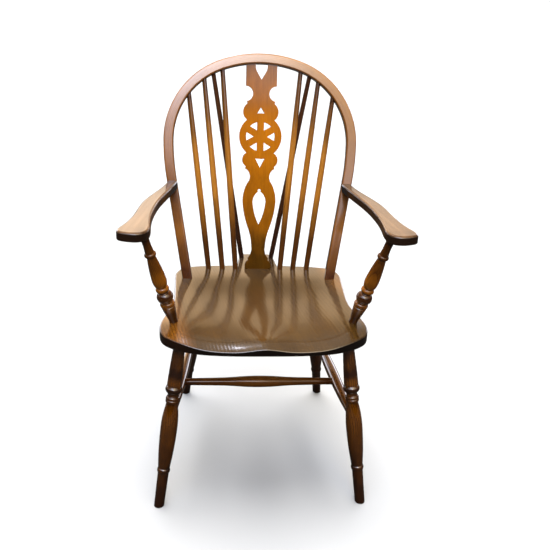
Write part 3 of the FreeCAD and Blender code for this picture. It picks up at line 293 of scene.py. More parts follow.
class TimberGroups:
    """Shader node groups that every wooden piece shares."""

    DRIFT = Streak(7.0, 0.16)
    WANDER = 0.03
    FIBRE = Streak(640.0, 0.018, 4.0, 0.65)
    CLOUD = Streak(24.0, 0.1)
    PORE = Streak(1500.0, 0.04, 1.0)
    PORE_RANGE = (0.60, 0.70)
    LATE_WOOD_POWER = 2.2
    RING_SHARE = 0.34
    FIBRE_SHARE = 0.36
    CLOUD_SHARE = 0.34
    RING_HEIGHT = 0.5
    FIBRE_HEIGHT = 0.3
    PORE_DEPTH = 0.1
    SPRAY = Streak(45.0, 0.5, 3.0)
    PATCH_RANGE = (0.42, 0.68)
    SMEAR = Streak(16.0, 0.35, 4.0, 0.6)
    SMEAR_RANGE = (0.35, 0.7)
    SMEAR_SHARE = 0.6
    PORE_DULLNESS = 0.08
    RIPPLE = Streak(260.0, 0.6)
    RIPPLE_HEIGHT = 0.15

    def __init__(self) -> None:
        """Build the groups once."""
        self.grain = self._grain()
        self.toning = self._toning()
        self.lacquer = self._lacquer()

    def _grain(self) -> bpy.types.NodeTree:
        """Growth rings, fibres and pores, with the fibres along Z.

        Returns:
            The group.
        """
        tree, given, out = new_group(
            "Timber grain", {"Place": VECTOR, "Heart": VECTOR, "Ring Width": FLOAT},
            {"Figure": FLOAT, "Fibre": FLOAT, "Pores": FLOAT, "Height": FLOAT})
        bench = NodeBench(tree)
        place = bench.vector("ADD", given["Place"], given["Heart"])
        drift = bench.vector("SUBTRACT", bench.noise(place, self.DRIFT, "Color"), (0.5, 0.5, 0.5))
        grown = bench.vector("ADD", place, bench.vector("MULTIPLY", drift, (self.WANDER, self.WANDER, 0.0)))
        radius = bench.vector("LENGTH", bench.vector("MULTIPLY", grown, (1.0, 1.0, 0.0)))
        turns = bench.math("DIVIDE", radius, given["Ring Width"])
        ring = bench.math("POWER", bench.math("FRACT", turns), self.LATE_WOOD_POWER)
        fibre = bench.noise(grown, self.FIBRE)
        cloud = bench.noise(place, self.CLOUD)
        pores = bench.remap(bench.noise(place, self.PORE), *self.PORE_RANGE)
        figure = bench.math("MULTIPLY", ring, self.RING_SHARE)
        figure = bench.math("ADD", figure, bench.remap(fibre, *NOISE_RANGE, 0.0, self.FIBRE_SHARE))
        figure = bench.math("ADD", figure, bench.remap(cloud, *NOISE_RANGE, 0.0, self.CLOUD_SHARE), True)
        wave = bench.math("SINE", bench.math("MULTIPLY", turns, 2 * math.pi))
        height = bench.math("MULTIPLY", wave, self.RING_HEIGHT)
        height = bench.math("ADD", height, bench.math("MULTIPLY", fibre, self.FIBRE_HEIGHT))
        height = bench.math("SUBTRACT", height, bench.math("MULTIPLY", pores, self.PORE_DEPTH))
        for name, socket in (("Figure", figure), ("Fibre", fibre), ("Pores", pores), ("Height", height)):
            bench.feed(out[name], socket)
        return tree

    def _toning(self) -> bpy.types.NodeTree:
        """Shading lacquer sprayed over the stain, deepest where its tone is 1.

        Returns:
            The group.
        """
        tree, given, out = new_group(
            "Shading lacquer",
            {"Wood": COLOUR, "Toner": COLOUR, "Tone": FLOAT, "Mottle": FLOAT, "Place": VECTOR},
            {"Color": COLOUR})
        bench = NodeBench(tree)
        patches = bench.remap(bench.noise(given["Place"], self.SPRAY), *self.PATCH_RANGE)
        uneven = bench.math("ADD", given["Tone"], bench.math("MULTIPLY", given["Mottle"], patches), True)
        deep = bench.mix(1.0, given["Wood"], given["Toner"], "MULTIPLY")
        bench.feed(out["Color"], bench.mix(uneven, given["Wood"], deep))
        return tree

    def _lacquer(self) -> bpy.types.NodeTree:
        """Gloss of the lacquer: duller over open pores and in faint smears, with a soft ripple.

        Returns:
            The group.
        """
        tree, given, out = new_group(
            "Lacquer skin",
            {"Place": VECTOR, "Fibre": FLOAT, "Pores": FLOAT, "Gloss": FLOAT, "Dull": FLOAT,
             "Grain Height": FLOAT},
            {"Roughness": FLOAT, "Height": FLOAT})
        bench = NodeBench(tree)
        smears = bench.noise(given["Place"], self.SMEAR)
        share = bench.remap(smears, *self.SMEAR_RANGE, 0.0, self.SMEAR_SHARE)
        streaks = bench.remap(given["Fibre"], *self.SMEAR_RANGE, 0.0, 1.0 - self.SMEAR_SHARE)
        share = bench.math("ADD", share, streaks)
        rough = bench.remap(share, 0.0, 1.0, given["Gloss"], given["Dull"])
        open_pores = bench.math("MULTIPLY", given["Pores"], self.PORE_DULLNESS)
        ripple = bench.math("MULTIPLY", bench.noise(given["Place"], self.RIPPLE), self.RIPPLE_HEIGHT)
        bench.feed(out["Roughness"], bench.math("ADD", rough, open_pores, True))
        bench.feed(out["Height"], bench.math("ADD", given["Grain Height"], ripple))
        return tree


@dataclass(frozen=True)
class GrainFrame:
    """Place of a piece in its timber: its start and the way its fibres run.

    Attributes:
        start: the point where the piece's own axes begin.
        turn: turn from the chair's axes to the piece's, with the fibres along its Z.
        length: length along the fibres.
    """

    start: Vector
    turn: Euler
    length: float

    @classmethod
    def along(cls, low: Vector, high: Vector) -> "GrainFrame":
        """The frame of a piece whose fibres run from one point to another.

        Args:
            low: start of the piece.
            high: end of the piece.

        Returns:
            The frame.
        """
        run = high - low
        return cls(low, run.to_track_quat("Z", "Y").to_euler(), run.length)


@dataclass(frozen=True)
class WoodFinish:
    """Stain and lacquer of one kind of piece, with painted shade on its upright faces where it has some.

    Attributes:
        label: the finish's name.
        dark: colour of the late wood.
        middle: colour between.
        light: colour of the early wood.
        toner: what the shading lacquer multiplies the colour by, where it is deepest.
        tones: depth of the shading lacquer, at shares of the piece's length.
        mottle: how much deeper the shading lacquer is in patches.
        flank: offsets from the middle line between which the shading lacquer fades out, if it does.
        upright_shade: painted shade, what the colour is multiplied by on faces that don't face up or down,
            to darken them as if less lit.
        ring_width: width of a growth ring.
        gloss: roughness where the lacquer is smoothest.
        dull: roughness where it is dullest.
        coats: weight of the clear top coat, at shares of the piece's length.
        sinkage: how much of the top coat is lost where it sinks into the late wood.
        shine: strength of the lacquer's own reflection.
        relief: how strongly the grain is felt through the lacquer.
    """

    label: str
    dark: Colour
    middle: Colour
    light: Colour
    toner: Colour = (0.22, 0.16, 0.14)
    tones: Stops = ((0.0, 0.0), (1.0, 0.0))
    mottle: float = 0.12
    flank: Optional[tuple[float, float]] = None
    upright_shade: Optional[Colour] = None
    ring_width: float = 0.0034
    gloss: float = 0.2
    dull: float = 0.36
    coats: Stops = ((0.0, 0.25), (1.0, 0.25))
    sinkage: float = 0.2
    shine: float = 0.5
    relief: float = 0.06

    PORE_STAIN = 0.55
    RING_RANGE = (0.25, 0.75)
    UPRIGHT_RANGE = (0.35, 0.9)
    GRAIN_DEPTH = 0.25 * MILLIMETRE
    COAT_SMOOTHING = 0.8

    def material(self, groups: TimberGroups, name: str, place: GrainFrame, heart: Place,
                 source: GrainSource = GrainSource.OBJECT) -> bpy.types.Material:
        """Make the material of one piece.

        Args:
            groups: the shared node groups.
            name: the piece's name.
            place: how the piece lies in its timber.
            heart: way from the piece's axis to the heart of the tree.
            source: where the place of a point comes from.

        Returns:
            The material.
        """
        made = bpy.data.materials.new(f"{self.label}_{name}")
        made.use_nodes = True
        made.node_tree.nodes.clear()
        bench = NodeBench(made.node_tree)
        here = self._place(bench, place, source)
        axes = bench.add("ShaderNodeSeparateXYZ")
        bench.feed(axes.inputs[0], here)
        share = bench.remap(axes.outputs["Z"], 0.0, place.length)
        tone = self._along(bench, share, self.tones)
        if self.flank is not None:
            offset = bench.math("ABSOLUTE", axes.outputs["X"])
            tone = bench.math("MULTIPLY", tone, bench.remap(offset, *self.flank, 1.0, 0.0, True))
        grain = bench.group(groups.grain, Place=here, Heart=heart, Ring_Width=self.ring_width)
        toned = bench.group(groups.toning, Wood=self._wood(bench, grain), Toner=(*self.toner, 1.0),
                            Tone=tone, Mottle=self.mottle, Place=here)
        skin = bench.group(groups.lacquer, Place=here, Fibre=grain.outputs["Fibre"],
                           Pores=grain.outputs["Pores"], Gloss=self.gloss, Dull=self.dull,
                           Grain_Height=grain.outputs["Height"])
        colour = toned.outputs["Color"]
        sunk = bench.remap(grain.outputs["Figure"], *self.RING_RANGE, 1.0, 1.0 - self.sinkage)
        coat = bench.math("MULTIPLY", self._along(bench, share, self.coats), sunk)
        # Painted shade: faces that don't face up or down are darkened by a fixed colour, as if less lit,
        # and lose their top coat.
        if self.upright_shade is not None:
            edge = self._edge(bench)
            colour = bench.mix(edge, colour, bench.mix(1.0, colour, self.upright_shade, "MULTIPLY"))
            coat = bench.math("MULTIPLY", coat, bench.math("SUBTRACT", 1.0, edge))
        self._surface(bench, colour, coat, skin)
        return made

    def _wood(self, bench: NodeBench, grain: bpy.types.Node) -> Socket:
        """The stained wood's colour, darker in the late wood and the pores.

        Args:
            bench: the material's nodes.
            grain: the grain group's node.

        Returns:
            The colour's socket.
        """
        wood = bench.ramp(grain.outputs["Figure"],
                          [(0.0, self.light), (0.5, self.middle), (1.0, self.dark)], "EASE")
        return bench.mix(bench.math("MULTIPLY", grain.outputs["Pores"], self.PORE_STAIN), wood, self.dark)

    def _surface(self, bench: NodeBench, colour: Socket, coat: Socket, skin: bpy.types.Node) -> None:
        """Put the material's shader together.

        Args:
            bench: the material's nodes.
            colour: the wood's colour.
            coat: weight of the top coat.
            skin: the lacquer group's node.
        """
        bump = bench.add("ShaderNodeBump")
        bump.inputs["Strength"].default_value = self.relief
        bump.inputs["Distance"].default_value = self.GRAIN_DEPTH
        bench.feed(bump.inputs["Height"], skin.outputs["Height"])
        shader = bench.add("ShaderNodeBsdfPrincipled")
        bench.feed(shader.inputs["Base Color"], colour)
        bench.feed(shader.inputs["Roughness"], skin.outputs["Roughness"])
        bench.feed(shader.inputs["Normal"], bump.outputs["Normal"])
        bench.feed(shader.inputs["Coat Weight"], coat)
        shader.inputs["Specular IOR Level"].default_value = self.shine
        shader.inputs["Coat Roughness"].default_value = self.gloss * self.COAT_SMOOTHING
        leaving = bench.add("ShaderNodeOutputMaterial")
        bench.feed(leaving.inputs["Surface"], shader.outputs["BSDF"])

    def _place(self, bench: NodeBench, place: GrainFrame, source: GrainSource) -> Socket:
        """The place of a point in the piece's timber, in metres, with Z along the fibres.

        Args:
            bench: the material's nodes.
            place: how the piece lies in its timber.
            source: where the place of a point comes from.

        Returns:
            The place's socket.
        """
        if source is GrainSource.ATTRIBUTE:
            return bench.add("ShaderNodeAttribute", attribute_name=GRAIN_ATTRIBUTE).outputs["Vector"]
        seen = bench.add("ShaderNodeTexCoord").outputs["Object"]
        mapping = bench.add("ShaderNodeMapping", vector_type="TEXTURE")
        bench.feed(mapping.inputs["Vector"], seen)
        mapping.inputs["Location"].default_value = place.start
        mapping.inputs["Rotation"].default_value = place.turn
        return mapping.outputs["Vector"]

    def _along(self, bench: NodeBench, share: Socket, stops: Stops) -> Socket:
        """A value that changes along the piece.

        Args:
            bench: the material's nodes.
            share: place along the piece, from 0 to 1.
            stops: places and their values.

        Returns:
            The value's socket.
        """
        return bench.ramp(share, [(place, (level,) * 3) for place, level in stops], "EASE")

    def _edge(self, bench: NodeBench) -> Socket:
        """How far a face turns away from facing up or down.

        Args:
            bench: the material's nodes.

        Returns:
            The socket of a mask, 1 on upright faces.
        """
        facing = bench.add("ShaderNodeSeparateXYZ")
        bench.feed(facing.inputs[0], bench.add("ShaderNodeTexCoord").outputs["Normal"])
        level = bench.math("ABSOLUTE", facing.outputs["Z"])
        return bench.remap(level, *self.UPRIGHT_RANGE, 1.0, 0.0, True)


@dataclass(frozen=True)
class SteelFinish:
    """Bright zinc plate on a wood screw.

    Attributes:
        label: the finish's name.
        light: colour of clean plate.
        dark: colour of dulled plate.
        gloss: roughness of clean plate.
        dull: roughness of dulled plate.
        patches: sizes of the dulled patches.
    """

    label: str = "screw_plate"
    light: Colour = (0.62, 0.60, 0.55)
    dark: Colour = (0.36, 0.34, 0.30)
    gloss: float = 0.25
    dull: float = 0.45
    patches: Streak = Streak(420.0, 1.0, 3.0, 0.6)

    def material(self) -> bpy.types.Material:
        """Make the material.

        Returns:
            The material.
        """
        made = bpy.data.materials.new(self.label)
        made.use_nodes = True
        made.node_tree.nodes.clear()
        bench = NodeBench(made.node_tree)
        here = bench.add("ShaderNodeTexCoord").outputs["Object"]
        patches = bench.noise(here, self.patches)
        colour = bench.ramp(patches, list(zip(NOISE_RANGE, (self.dark, self.light))))
        shader = bench.add("ShaderNodeBsdfPrincipled")
        bench.feed(shader.inputs["Base Color"], colour)
        bench.feed(shader.inputs["Roughness"], bench.remap(patches, *NOISE_RANGE, self.dull, self.gloss))
        shader.inputs["Metallic"].default_value = 1.0
        leaving = bench.add("ShaderNodeOutputMaterial")
        bench.feed(leaving.inputs["Surface"], shader.outputs["BSDF"])
        return made


def node_points(name: str) -> np.ndarray:
    """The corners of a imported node.

    Args:
        name: the node's name.

    Returns:
        One row of x, y, z for each corner, in metres.
    """
    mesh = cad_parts[name].data
    points = np.empty(len(mesh.vertices) * 3, np.float32)
    mesh.vertices.foreach_get("co", points)
    return points.reshape(-1, 3).astype(float)


def turned_frame(name: str, end_share: float = 0.02) -> GrainFrame:
    """The frame of a turned piece, from the middles of its two ends.

    Args:
        name: the node's name.
        end_share: share of the length that counts as an end.

    Returns:
        The frame, from the lower, right or front end to the other.
    """
    points = node_points(name)
    middle = points.mean(axis=0)
    run = np.linalg.svd(points - middle, full_matrices=False)[2][0]
    run = run if run[np.argmax(np.abs(run))] > 0 else -run
    along = (points - middle) @ run
    reach = end_share * (along.max() - along.min())
    ends = []
    for chosen in (along < along.min() + reach, along > along.max() - reach):
        ends.append(Vector((points[chosen].min(axis=0) + points[chosen].max(axis=0)) / 2))
    return GrainFrame.along(*ends)


def paint(name: str, material: bpy.types.Material) -> None:
    """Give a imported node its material.

    Args:
        name: the node's name.
        material: its material.
    """
    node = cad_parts[name]
    node.data.materials.clear()
    node.data.materials.append(material)
    log.info("dressed %s with %s", name, material.name)


def deselect_all() -> None:
    """Go to object mode with nothing selected."""
    if bpy.context.object is not None and bpy.context.object.mode != "OBJECT":
        bpy.ops.object.mode_set(mode="OBJECT")
    bpy.ops.object.select_all(action="DESELECT")


def flatten_faces(piece: bpy.types.Object) -> None:
    """Let wide faces keep their own normals, so that only the rounded edges look round.

    Args:
        piece: the active object.
    """
    weighted = piece.modifiers.new("flat faces", "WEIGHTED_NORMAL")
    weighted.weight = 100
    weighted.keep_sharp = True
    bpy.ops.object.modifier_apply(modifier=weighted.name)


def settle(piece: bpy.types.Object, slot: Slot, *nodes: str) -> None:
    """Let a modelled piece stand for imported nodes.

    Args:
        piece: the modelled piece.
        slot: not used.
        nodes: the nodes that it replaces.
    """
    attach(piece, BODY)
    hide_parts(*nodes)
    log.info("modelled %s for %s", piece.name, ", ".join(nodes))


@dataclass
class Bow:
    """The bent back bow: one hoop on two straight legs, with its pellets and wedges.

    Attributes:
        rake: lean of the bow's plane to the back, in degrees.
        height: height of its middle line at the top, up its plane.
        top_radius: radius of the flat arc over the top.
        top_sweep: half of that arc's angle, in degrees.
        shoulder_radius: radius of the arc at each shoulder.
        side_radius: radius of the long arc down each side.
        foot_offset: offset of a leg's foot from the middle.
        width: width of the bow, across its plane.
        thickness: thickness of the bow, through its plane.
        edge_round: radius of its long edges.
        let_in: how far the legs' shoulders stand in the seat, out of sight.
        round_steps: steps round each long edge.
        arc_steps: steps of the shoulder's arc.
        least_steps: fewest steps of any arc.
        crease: angle from which an edge stays sharp, in degrees.
        heart: way from the bow's middle line to the heart of its tree.
        plug_heart: the same for a pellet or a wedge.
        finish: stain and lacquer of the bow.
    """

    rake: float = 18.4
    height: float = 0.558
    top_radius: float = 0.298
    top_sweep: float = 20.1
    shoulder_radius: float = 0.2025
    side_radius: float = 0.581
    foot_offset: float = 0.1864
    width: float = 0.025
    thickness: float = 0.023
    edge_round: float = 0.004
    let_in: float = 0.006
    round_steps: int = 5
    arc_steps: int = 36
    least_steps: int = 6
    crease: float = 40.0
    heart: Place = (0.05, 0.03, 0.0)
    plug_heart: Place = (0.006, 0.004, 0.0)
    finish: WoodFinish = WoodFinish(
        "bow_stain", dark=(0.11, 0.040, 0.006), middle=(0.175, 0.068, 0.011), light=(0.25, 0.10, 0.018),
        gloss=0.12, dull=0.2, mottle=0.2,
        tones=((0.0, 0.95), (0.04, 0.75), (0.085, 0.05), (0.14, 0.45),
               (0.22, 0.2), (0.5, 0.0), (0.78, 0.1), (0.86, 0.4),
               (0.915, 0.05), (0.96, 0.55), (1.0, 0.85)),
        coats=((0.0, 0.1), (0.1, 0.3), (0.22, 1.0), (0.5, 1.0),
               (0.78, 1.0), (0.93, 0.7), (1.0, 0.2)))

    def __post_init__(self) -> None:
        """Work out the arcs' centres and the legs' lean from the sizes."""
        sweep = math.radians(self.top_sweep)
        spare = self.top_radius - self.shoulder_radius
        self.sweep = sweep
        self.top_centre = Vector((0.0, 0.0, self.height - self.top_radius))
        self.shoulder_centre = self.top_centre + spare * Vector((math.sin(sweep), 0.0, math.cos(sweep)))
        shift = self.shoulder_radius - self.side_radius
        self.side_centre = self.shoulder_centre + Vector((shift, 0.0, 0.0))
        reach = Vector((self.foot_offset - self.side_centre.x, 0.0, -self.side_centre.z))
        turn = math.acos(self.side_radius / reach.length)
        self.lean = math.atan2(-reach.z, reach.x) - turn
        self.leg_length = math.sqrt(reach.length_squared - self.side_radius ** 2)

    def place(self) -> Matrix:
        """The bow plane's place: X across, Y through the bow to the back, Z up the rake.

        Returns:
            The matrix from the bow's own axes to the chair's.
        """
        rake = math.radians(self.rake)
        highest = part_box("bow")[1]
        rise = self.height + self.width / 2 - self.edge_round
        depth = self.thickness / 2 - self.edge_round
        setback = highest.y - rise * math.sin(rake) - depth * math.cos(rake) - self.edge_round
        start = Vector((0.0, setback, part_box("seat")[1].z))
        return Matrix.Translation(start) @ Matrix.Rotation(-rake, 4, "X")

    def build(self) -> bpy.types.Object:
        """Model the hoop: a rounded section drawn up one leg, spun over the top and down the other.

        Returns:
            The bow's object.
        """
        deselect_all()
        foot = Vector((self.foot_offset, 0.0, 0.0))
        up = Vector((math.sin(self.lean), 0.0, math.cos(self.lean)))
        down = Vector((up.x, 0.0, -up.z))
        bpy.ops.mesh.primitive_plane_add(size=1.0, location=foot - up * self.let_in,
                                         rotation=(0.0, self.lean, 0.0))
        bow = bpy.context.object
        bow.name = "bow_hoop"
        bow.scale = (self.width, self.thickness, 1.0)
        bpy.ops.object.transform_apply(location=True, rotation=True, scale=True)
        bpy.ops.object.mode_set(mode="EDIT")
        bpy.ops.mesh.select_all(action="SELECT")
        bpy.ops.mesh.bevel(offset=self.edge_round, offset_type="OFFSET", segments=self.round_steps,
                           affect="VERTICES")
        bpy.ops.mesh.delete(type="ONLY_FACE")
        bpy.ops.mesh.select_all(action="SELECT")
        straight = self.leg_length + self.let_in
        self._draw(up * straight)
        quarter = math.pi / 2 - self.sweep
        flip = Vector((-1.0, 1.0, 1.0))
        for centre, angle in ((self.side_centre, self.lean), (self.shoulder_centre, quarter),
                              (self.top_centre, 2 * self.sweep), (self.shoulder_centre * flip, quarter),
                              (self.side_centre * flip, self.lean)):
            steps = max(self.least_steps, round(self.arc_steps * angle / quarter))
            bpy.ops.mesh.spin(steps=steps, angle=angle, center=centre, axis=(0.0, 1.0, 0.0))
        self._draw(down * straight)
        self._close(bow)
        self._mark_grain(bow.data)
        bow.data.transform(self.place())
        bpy.ops.object.shade_smooth_by_angle(angle=math.radians(self.crease))
        flatten_faces(bow)
        settle(bow, Slot.BOW, "bow")
        return bow

    def _draw(self, run: Vector) -> None:
        """Draw the selected ring on by a straight run."""
        bpy.ops.mesh.extrude_edges_move(TRANSFORM_OT_translate={"value": run})

    def _close(self, bow: bpy.types.Object) -> None:
        """Merge the seams, cap both feet and turn every face outwards.

        Args:
            bow: the bow's object, in edit mode.
        """
        bpy.ops.mesh.select_all(action="SELECT")
        bpy.ops.mesh.remove_doubles(threshold=MERGE_GAP)
        bpy.ops.mesh.select_all(action="DESELECT")
        bpy.ops.mesh.select_non_manifold()
        bpy.ops.mesh.fill_holes(sides=0)
        bpy.ops.mesh.select_all(action="SELECT")
        bpy.ops.mesh.normals_make_consistent(inside=False)
        bpy.ops.object.mode_set(mode="OBJECT")

    def run_at(self, x: float, z: float) -> tuple[float, float]:
        """Where a point of the bow's plane lies along and across the bow.

        Args:
            x: offset from the middle, on the left.
            z: height up the plane.

        Returns:
            Run from the top's middle along the middle line, and distance outwards from that line.
        """
        turn = math.atan2(x - self.top_centre.x, z - self.top_centre.z)
        if turn < self.sweep:
            span = math.hypot(x - self.top_centre.x, z - self.top_centre.z)
            return self.top_radius * turn, span - self.top_radius
        run = self.top_radius * self.sweep
        turn = math.atan2(x - self.shoulder_centre.x, z - self.shoulder_centre.z)
        if z > self.shoulder_centre.z:
            span = math.hypot(x - self.shoulder_centre.x, z - self.shoulder_centre.z)
            return run + self.shoulder_radius * (turn - self.sweep), span - self.shoulder_radius
        run += self.shoulder_radius * (math.pi / 2 - self.sweep)
        sink = math.atan2(self.side_centre.z - z, x - self.side_centre.x)
        if sink < self.lean:
            span = math.hypot(x - self.side_centre.x, z - self.side_centre.z)
            return run + self.side_radius * sink, span - self.side_radius
        run += self.side_radius * self.lean
        bend = Vector((x - self.side_centre.x, 0.0, z - self.side_centre.z))
        outward = Vector((math.cos(self.lean), 0.0, -math.sin(self.lean)))
        down = Vector((-math.sin(self.lean), 0.0, -math.cos(self.lean)))
        return run + bend.dot(down), bend.dot(outward) - self.side_radius

    def length(self) -> float:
        """Length of the bow's middle line from foot to foot."""
        return 2 * self.run_at(self.foot_offset, 0.0)[0]

    def _mark_grain(self, mesh: bpy.types.Mesh) -> None:
        """Store each corner's place in the straight bar that the bow was bent from.

        Args:
            mesh: the bow's mesh, on its own axes.
        """
        half = self.length() / 2
        places = []
        for corner in mesh.vertices:
            run, outward = self.run_at(abs(corner.co.x), corner.co.z)
            places += [outward, corner.co.y, half + math.copysign(run, corner.co.x)]
        attribute = mesh.attributes.new(GRAIN_ATTRIBUTE, "FLOAT_VECTOR", "POINT")
        attribute.data.foreach_set("vector", places)

    def dress(self, groups: TimberGroups) -> None:
        """Stain the bow along its bend, and its pellets and wedges along their own axes.

        Args:
            groups: the shared node groups.
        """
        bow = self.build()
        bar = GrainFrame(Vector(), Euler(), self.length())
        stain = self.finish.material(groups, "hoop", bar, self.heart, GrainSource.ATTRIBUTE)
        bow.data.materials.append(stain)
        for side in SIDES:
            for kind in ("pellet", "bow_wedge"):
                name = f"{kind}_{side}"
                paint(name, self.finish.material(groups, name, turned_frame(name), self.plug_heart))


@dataclass
class Splat:
    """The pierced back splat with its wheel, its sawn edges softened.

    Attributes:
        thickness: thickness of the board.
        edge_round: width of the softened edge.
        round_steps: steps across the softened edge.
        flatness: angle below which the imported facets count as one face, in degrees.
        sawn: angle from which an edge counts as sawn, in degrees.
        crease: angle from which an edge stays sharp, in degrees.
        heart: way from the board's axis to the heart of its tree.
        finish: stain and lacquer of the splat.
    """

    thickness: float = 0.010
    edge_round: float = 0.0009
    round_steps: int = 3
    flatness: float = 0.4
    sawn: float = 50.0
    crease: float = 35.0
    heart: Place = (0.21, 0.06, 0.0)
    finish: WoodFinish = WoodFinish(
        "splat_stain", dark=(0.25, 0.075, 0.002), middle=(0.33, 0.107, 0.003), light=(0.45, 0.16, 0.005),
        toner=(0.13, 0.17, 0.6), mottle=0.14, gloss=0.14, dull=0.24, shine=0.12, relief=0.03,
        tones=((0.0, 1.0), (0.12, 0.92), (0.26, 0.55), (0.45, 0.36),
               (0.56, 0.12), (0.7, 0.0), (0.84, 0.3), (1.0, 0.5)),
        coats=((0.0, 0.0), (0.72, 0.0), (0.84, 1.0), (1.0, 1.0)))

    def build(self) -> bpy.types.Object:
        """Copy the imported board, merge it and bevel its sawn edges.

        Returns:
            The splat's object.
        """
        deselect_all()
        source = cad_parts["splat"]
        splat = bpy.data.objects.new("splat_board", source.data.copy())
        bpy.context.collection.objects.link(splat)
        splat.select_set(True)
        bpy.context.view_layer.objects.active = splat
        bpy.ops.object.mode_set(mode="EDIT")
        bpy.ops.mesh.customdata_custom_splitnormals_clear()
        bpy.ops.mesh.select_all(action="SELECT")
        bpy.ops.mesh.remove_doubles(threshold=MERGE_GAP)
        bpy.ops.mesh.dissolve_limited(angle_limit=math.radians(self.flatness))
        bpy.ops.mesh.select_all(action="DESELECT")
        bpy.ops.mesh.edges_select_sharp(sharpness=math.radians(self.sawn))
        bpy.ops.mesh.bevel(offset=self.edge_round, offset_type="OFFSET", segments=self.round_steps,
                           affect="EDGES", clamp_overlap=True)
        bpy.ops.object.mode_set(mode="OBJECT")
        bpy.ops.object.shade_smooth_by_angle(angle=math.radians(self.crease))
        flatten_faces(splat)
        splat.data.materials.clear()
        settle(splat, Slot.SPLAT, "splat")
        return splat

    def dress(self, groups: TimberGroups) -> None:
        """Stain the board with its fibres up its length.

        Args:
            groups: the shared node groups.
        """
        splat = self.build()
        low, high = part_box("splat")
        top = Vector((0.0, high.y - self.thickness, high.z))
        board = GrainFrame.along(Vector((0.0, low.y, low.z)), top)
        splat.data.materials.append(self.finish.material(groups, "board", board, self.heart))


@dataclass
class Seat:
    """The saddled seat board and the tail that carries the brace sticks.

    Attributes:
        slant: how far the fibres run to the right on their way back, in degrees.
        hearts: nodes, and the way from each one's axis to the heart of its tree.
        finish: stain and lacquer of the seat, with painted shade on its upright faces.
    """

    slant: float = 14.0
    hearts: tuple[tuple[str, Place], ...] = (("seat", (0.34, 0.06, 0.0)), ("seat_tail", (0.3, 0.08, 0.0)))
    finish: WoodFinish = WoodFinish(
        "seat_stain_and_painted_shade", dark=(0.022, 0.008, 0.001), middle=(0.066, 0.025, 0.003), light=(0.125, 0.05, 0.006),
        toner=(0.36, 0.48, 0.85), tones=((0.0, 1.0), (1.0, 1.0)), mottle=0.0, flank=(0.185, 0.23),
        # Painted shade: the seat's upright faces, its rim and front edge, are darkened as if less lit.
        upright_shade=(0.10, 0.08, 0.08), ring_width=0.0075, gloss=0.12, dull=0.2, relief=0.24, sinkage=0.25,
        coats=((0.0, 0.8), (1.0, 1.0)))

    def dress(self, groups: TimberGroups) -> None:
        """Stain both boards with their fibres from front to back, and paint shade on their upright faces.

        Args:
            groups: the shared node groups.
        """
        for name, heart in self.hearts:
            low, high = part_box(name)
            drift = math.tan(math.radians(self.slant)) * (high.y - low.y) / 2
            board = GrainFrame.along(Vector((drift, low.y, low.z)), Vector((-drift, high.y, low.z)))
            paint(name, self.finish.material(groups, name, board, heart))


@dataclass
class BackSticks:
    """The plain back sticks and the two brace sticks.

    Attributes:
        kinds: names of the pairs of back sticks.
        heart_reach: way from a stick's axis to the heart of its tree.
        kind_turn: how far the heart turns from one pair to the next, in degrees.
        side_turn: how far it turns from one side to the other, in degrees.
        stick: stain and lacquer of the back sticks.
        brace: stain and lacquer of the brace sticks.
    """

    kinds: tuple[str, ...] = ("stick_outer", "stick_middle", "stick_inner")
    heart_reach: float = 0.04
    kind_turn: float = 70.0
    side_turn: float = 160.0
    stick: WoodFinish = WoodFinish(
        "stick_stain", dark=(0.16, 0.062, 0.008), middle=(0.29, 0.118, 0.015), light=(0.45, 0.20, 0.028),
        toner=(0.17, 0.14, 0.16), gloss=0.14, dull=0.26,
        tones=((0.0, 1.0), (0.18, 1.0), (0.33, 0.55), (0.48, 0.05),
               (0.64, 0.1), (0.84, 0.75), (1.0, 1.0)),
        coats=((0.0, 0.2), (0.6, 0.2), (0.85, 1.0), (1.0, 1.0)))
    brace: WoodFinish = WoodFinish(
        "brace_stain", dark=(0.05, 0.018, 0.006), middle=(0.09, 0.034, 0.010), light=(0.14, 0.056, 0.018),
        tones=((0.0, 1.0), (0.2, 0.8), (0.7, 0.5), (1.0, 0.7)))

    def dress(self, groups: TimberGroups) -> None:
        """Stain each stick with its fibres along it.

        Args:
            groups: the shared node groups.
        """
        for index, side in enumerate(SIDES):
            for step, kind in enumerate((*self.kinds, "brace")):
                name = f"{kind}_{side}"
                finish = self.brace if kind == "brace" else self.stick
                bearing = math.radians(self.kind_turn * step + self.side_turn * index)
                heart = (math.cos(bearing), math.sin(bearing), step)
                heart = tuple(self.heart_reach * part for part in heart)
                paint(name, finish.material(groups, name, turned_frame(name), heart))


@dataclass
class Arms:
    """The flat sawn arms with the screws that hold them to the bow.

    Attributes:
        end_share: share of an arm's length that counts as its end.
        heart: way from an arm's axis to the heart of its tree.
        finish: stain and lacquer of the arms, with painted shade on their upright faces.
        screw: plate of the screws.
    """

    end_share: float = 0.1
    heart: Place = (0.02, 0.07, 0.0)
    finish: WoodFinish = WoodFinish(
        "arm_stain_and_painted_shade", dark=(0.046, 0.021, 0.008), middle=(0.080, 0.041, 0.016), light=(0.125, 0.067, 0.027),
        # Painted shade: the arms' upright faces, their sides and the hands' fronts, are darkened as if less
        # lit.
        mottle=0.3, upright_shade=(0.17, 0.135, 0.12), ring_width=0.0055, gloss=0.14, dull=0.24,
        tones=((0.0, 0.25), (0.08, 0.0), (0.7, 0.1), (1.0, 0.8)),
        coats=((0.0, 0.7), (0.6, 0.65), (0.85, 0.4), (1.0, 0.15)))
    screw: SteelFinish = SteelFinish()

    def dress(self, groups: TimberGroups) -> None:
        """Stain the arms along their length, paint shade on their upright faces and plate the screws.

        Args:
            groups: the shared node groups.
        """
        plate = self.screw.material()
        for side in SIDES:
            name = f"arm_{side}"
            board = turned_frame(name, self.end_share)
            paint(name, self.finish.material(groups, name, board, self.heart))
            paint(f"arm_screw_{side}", plate)


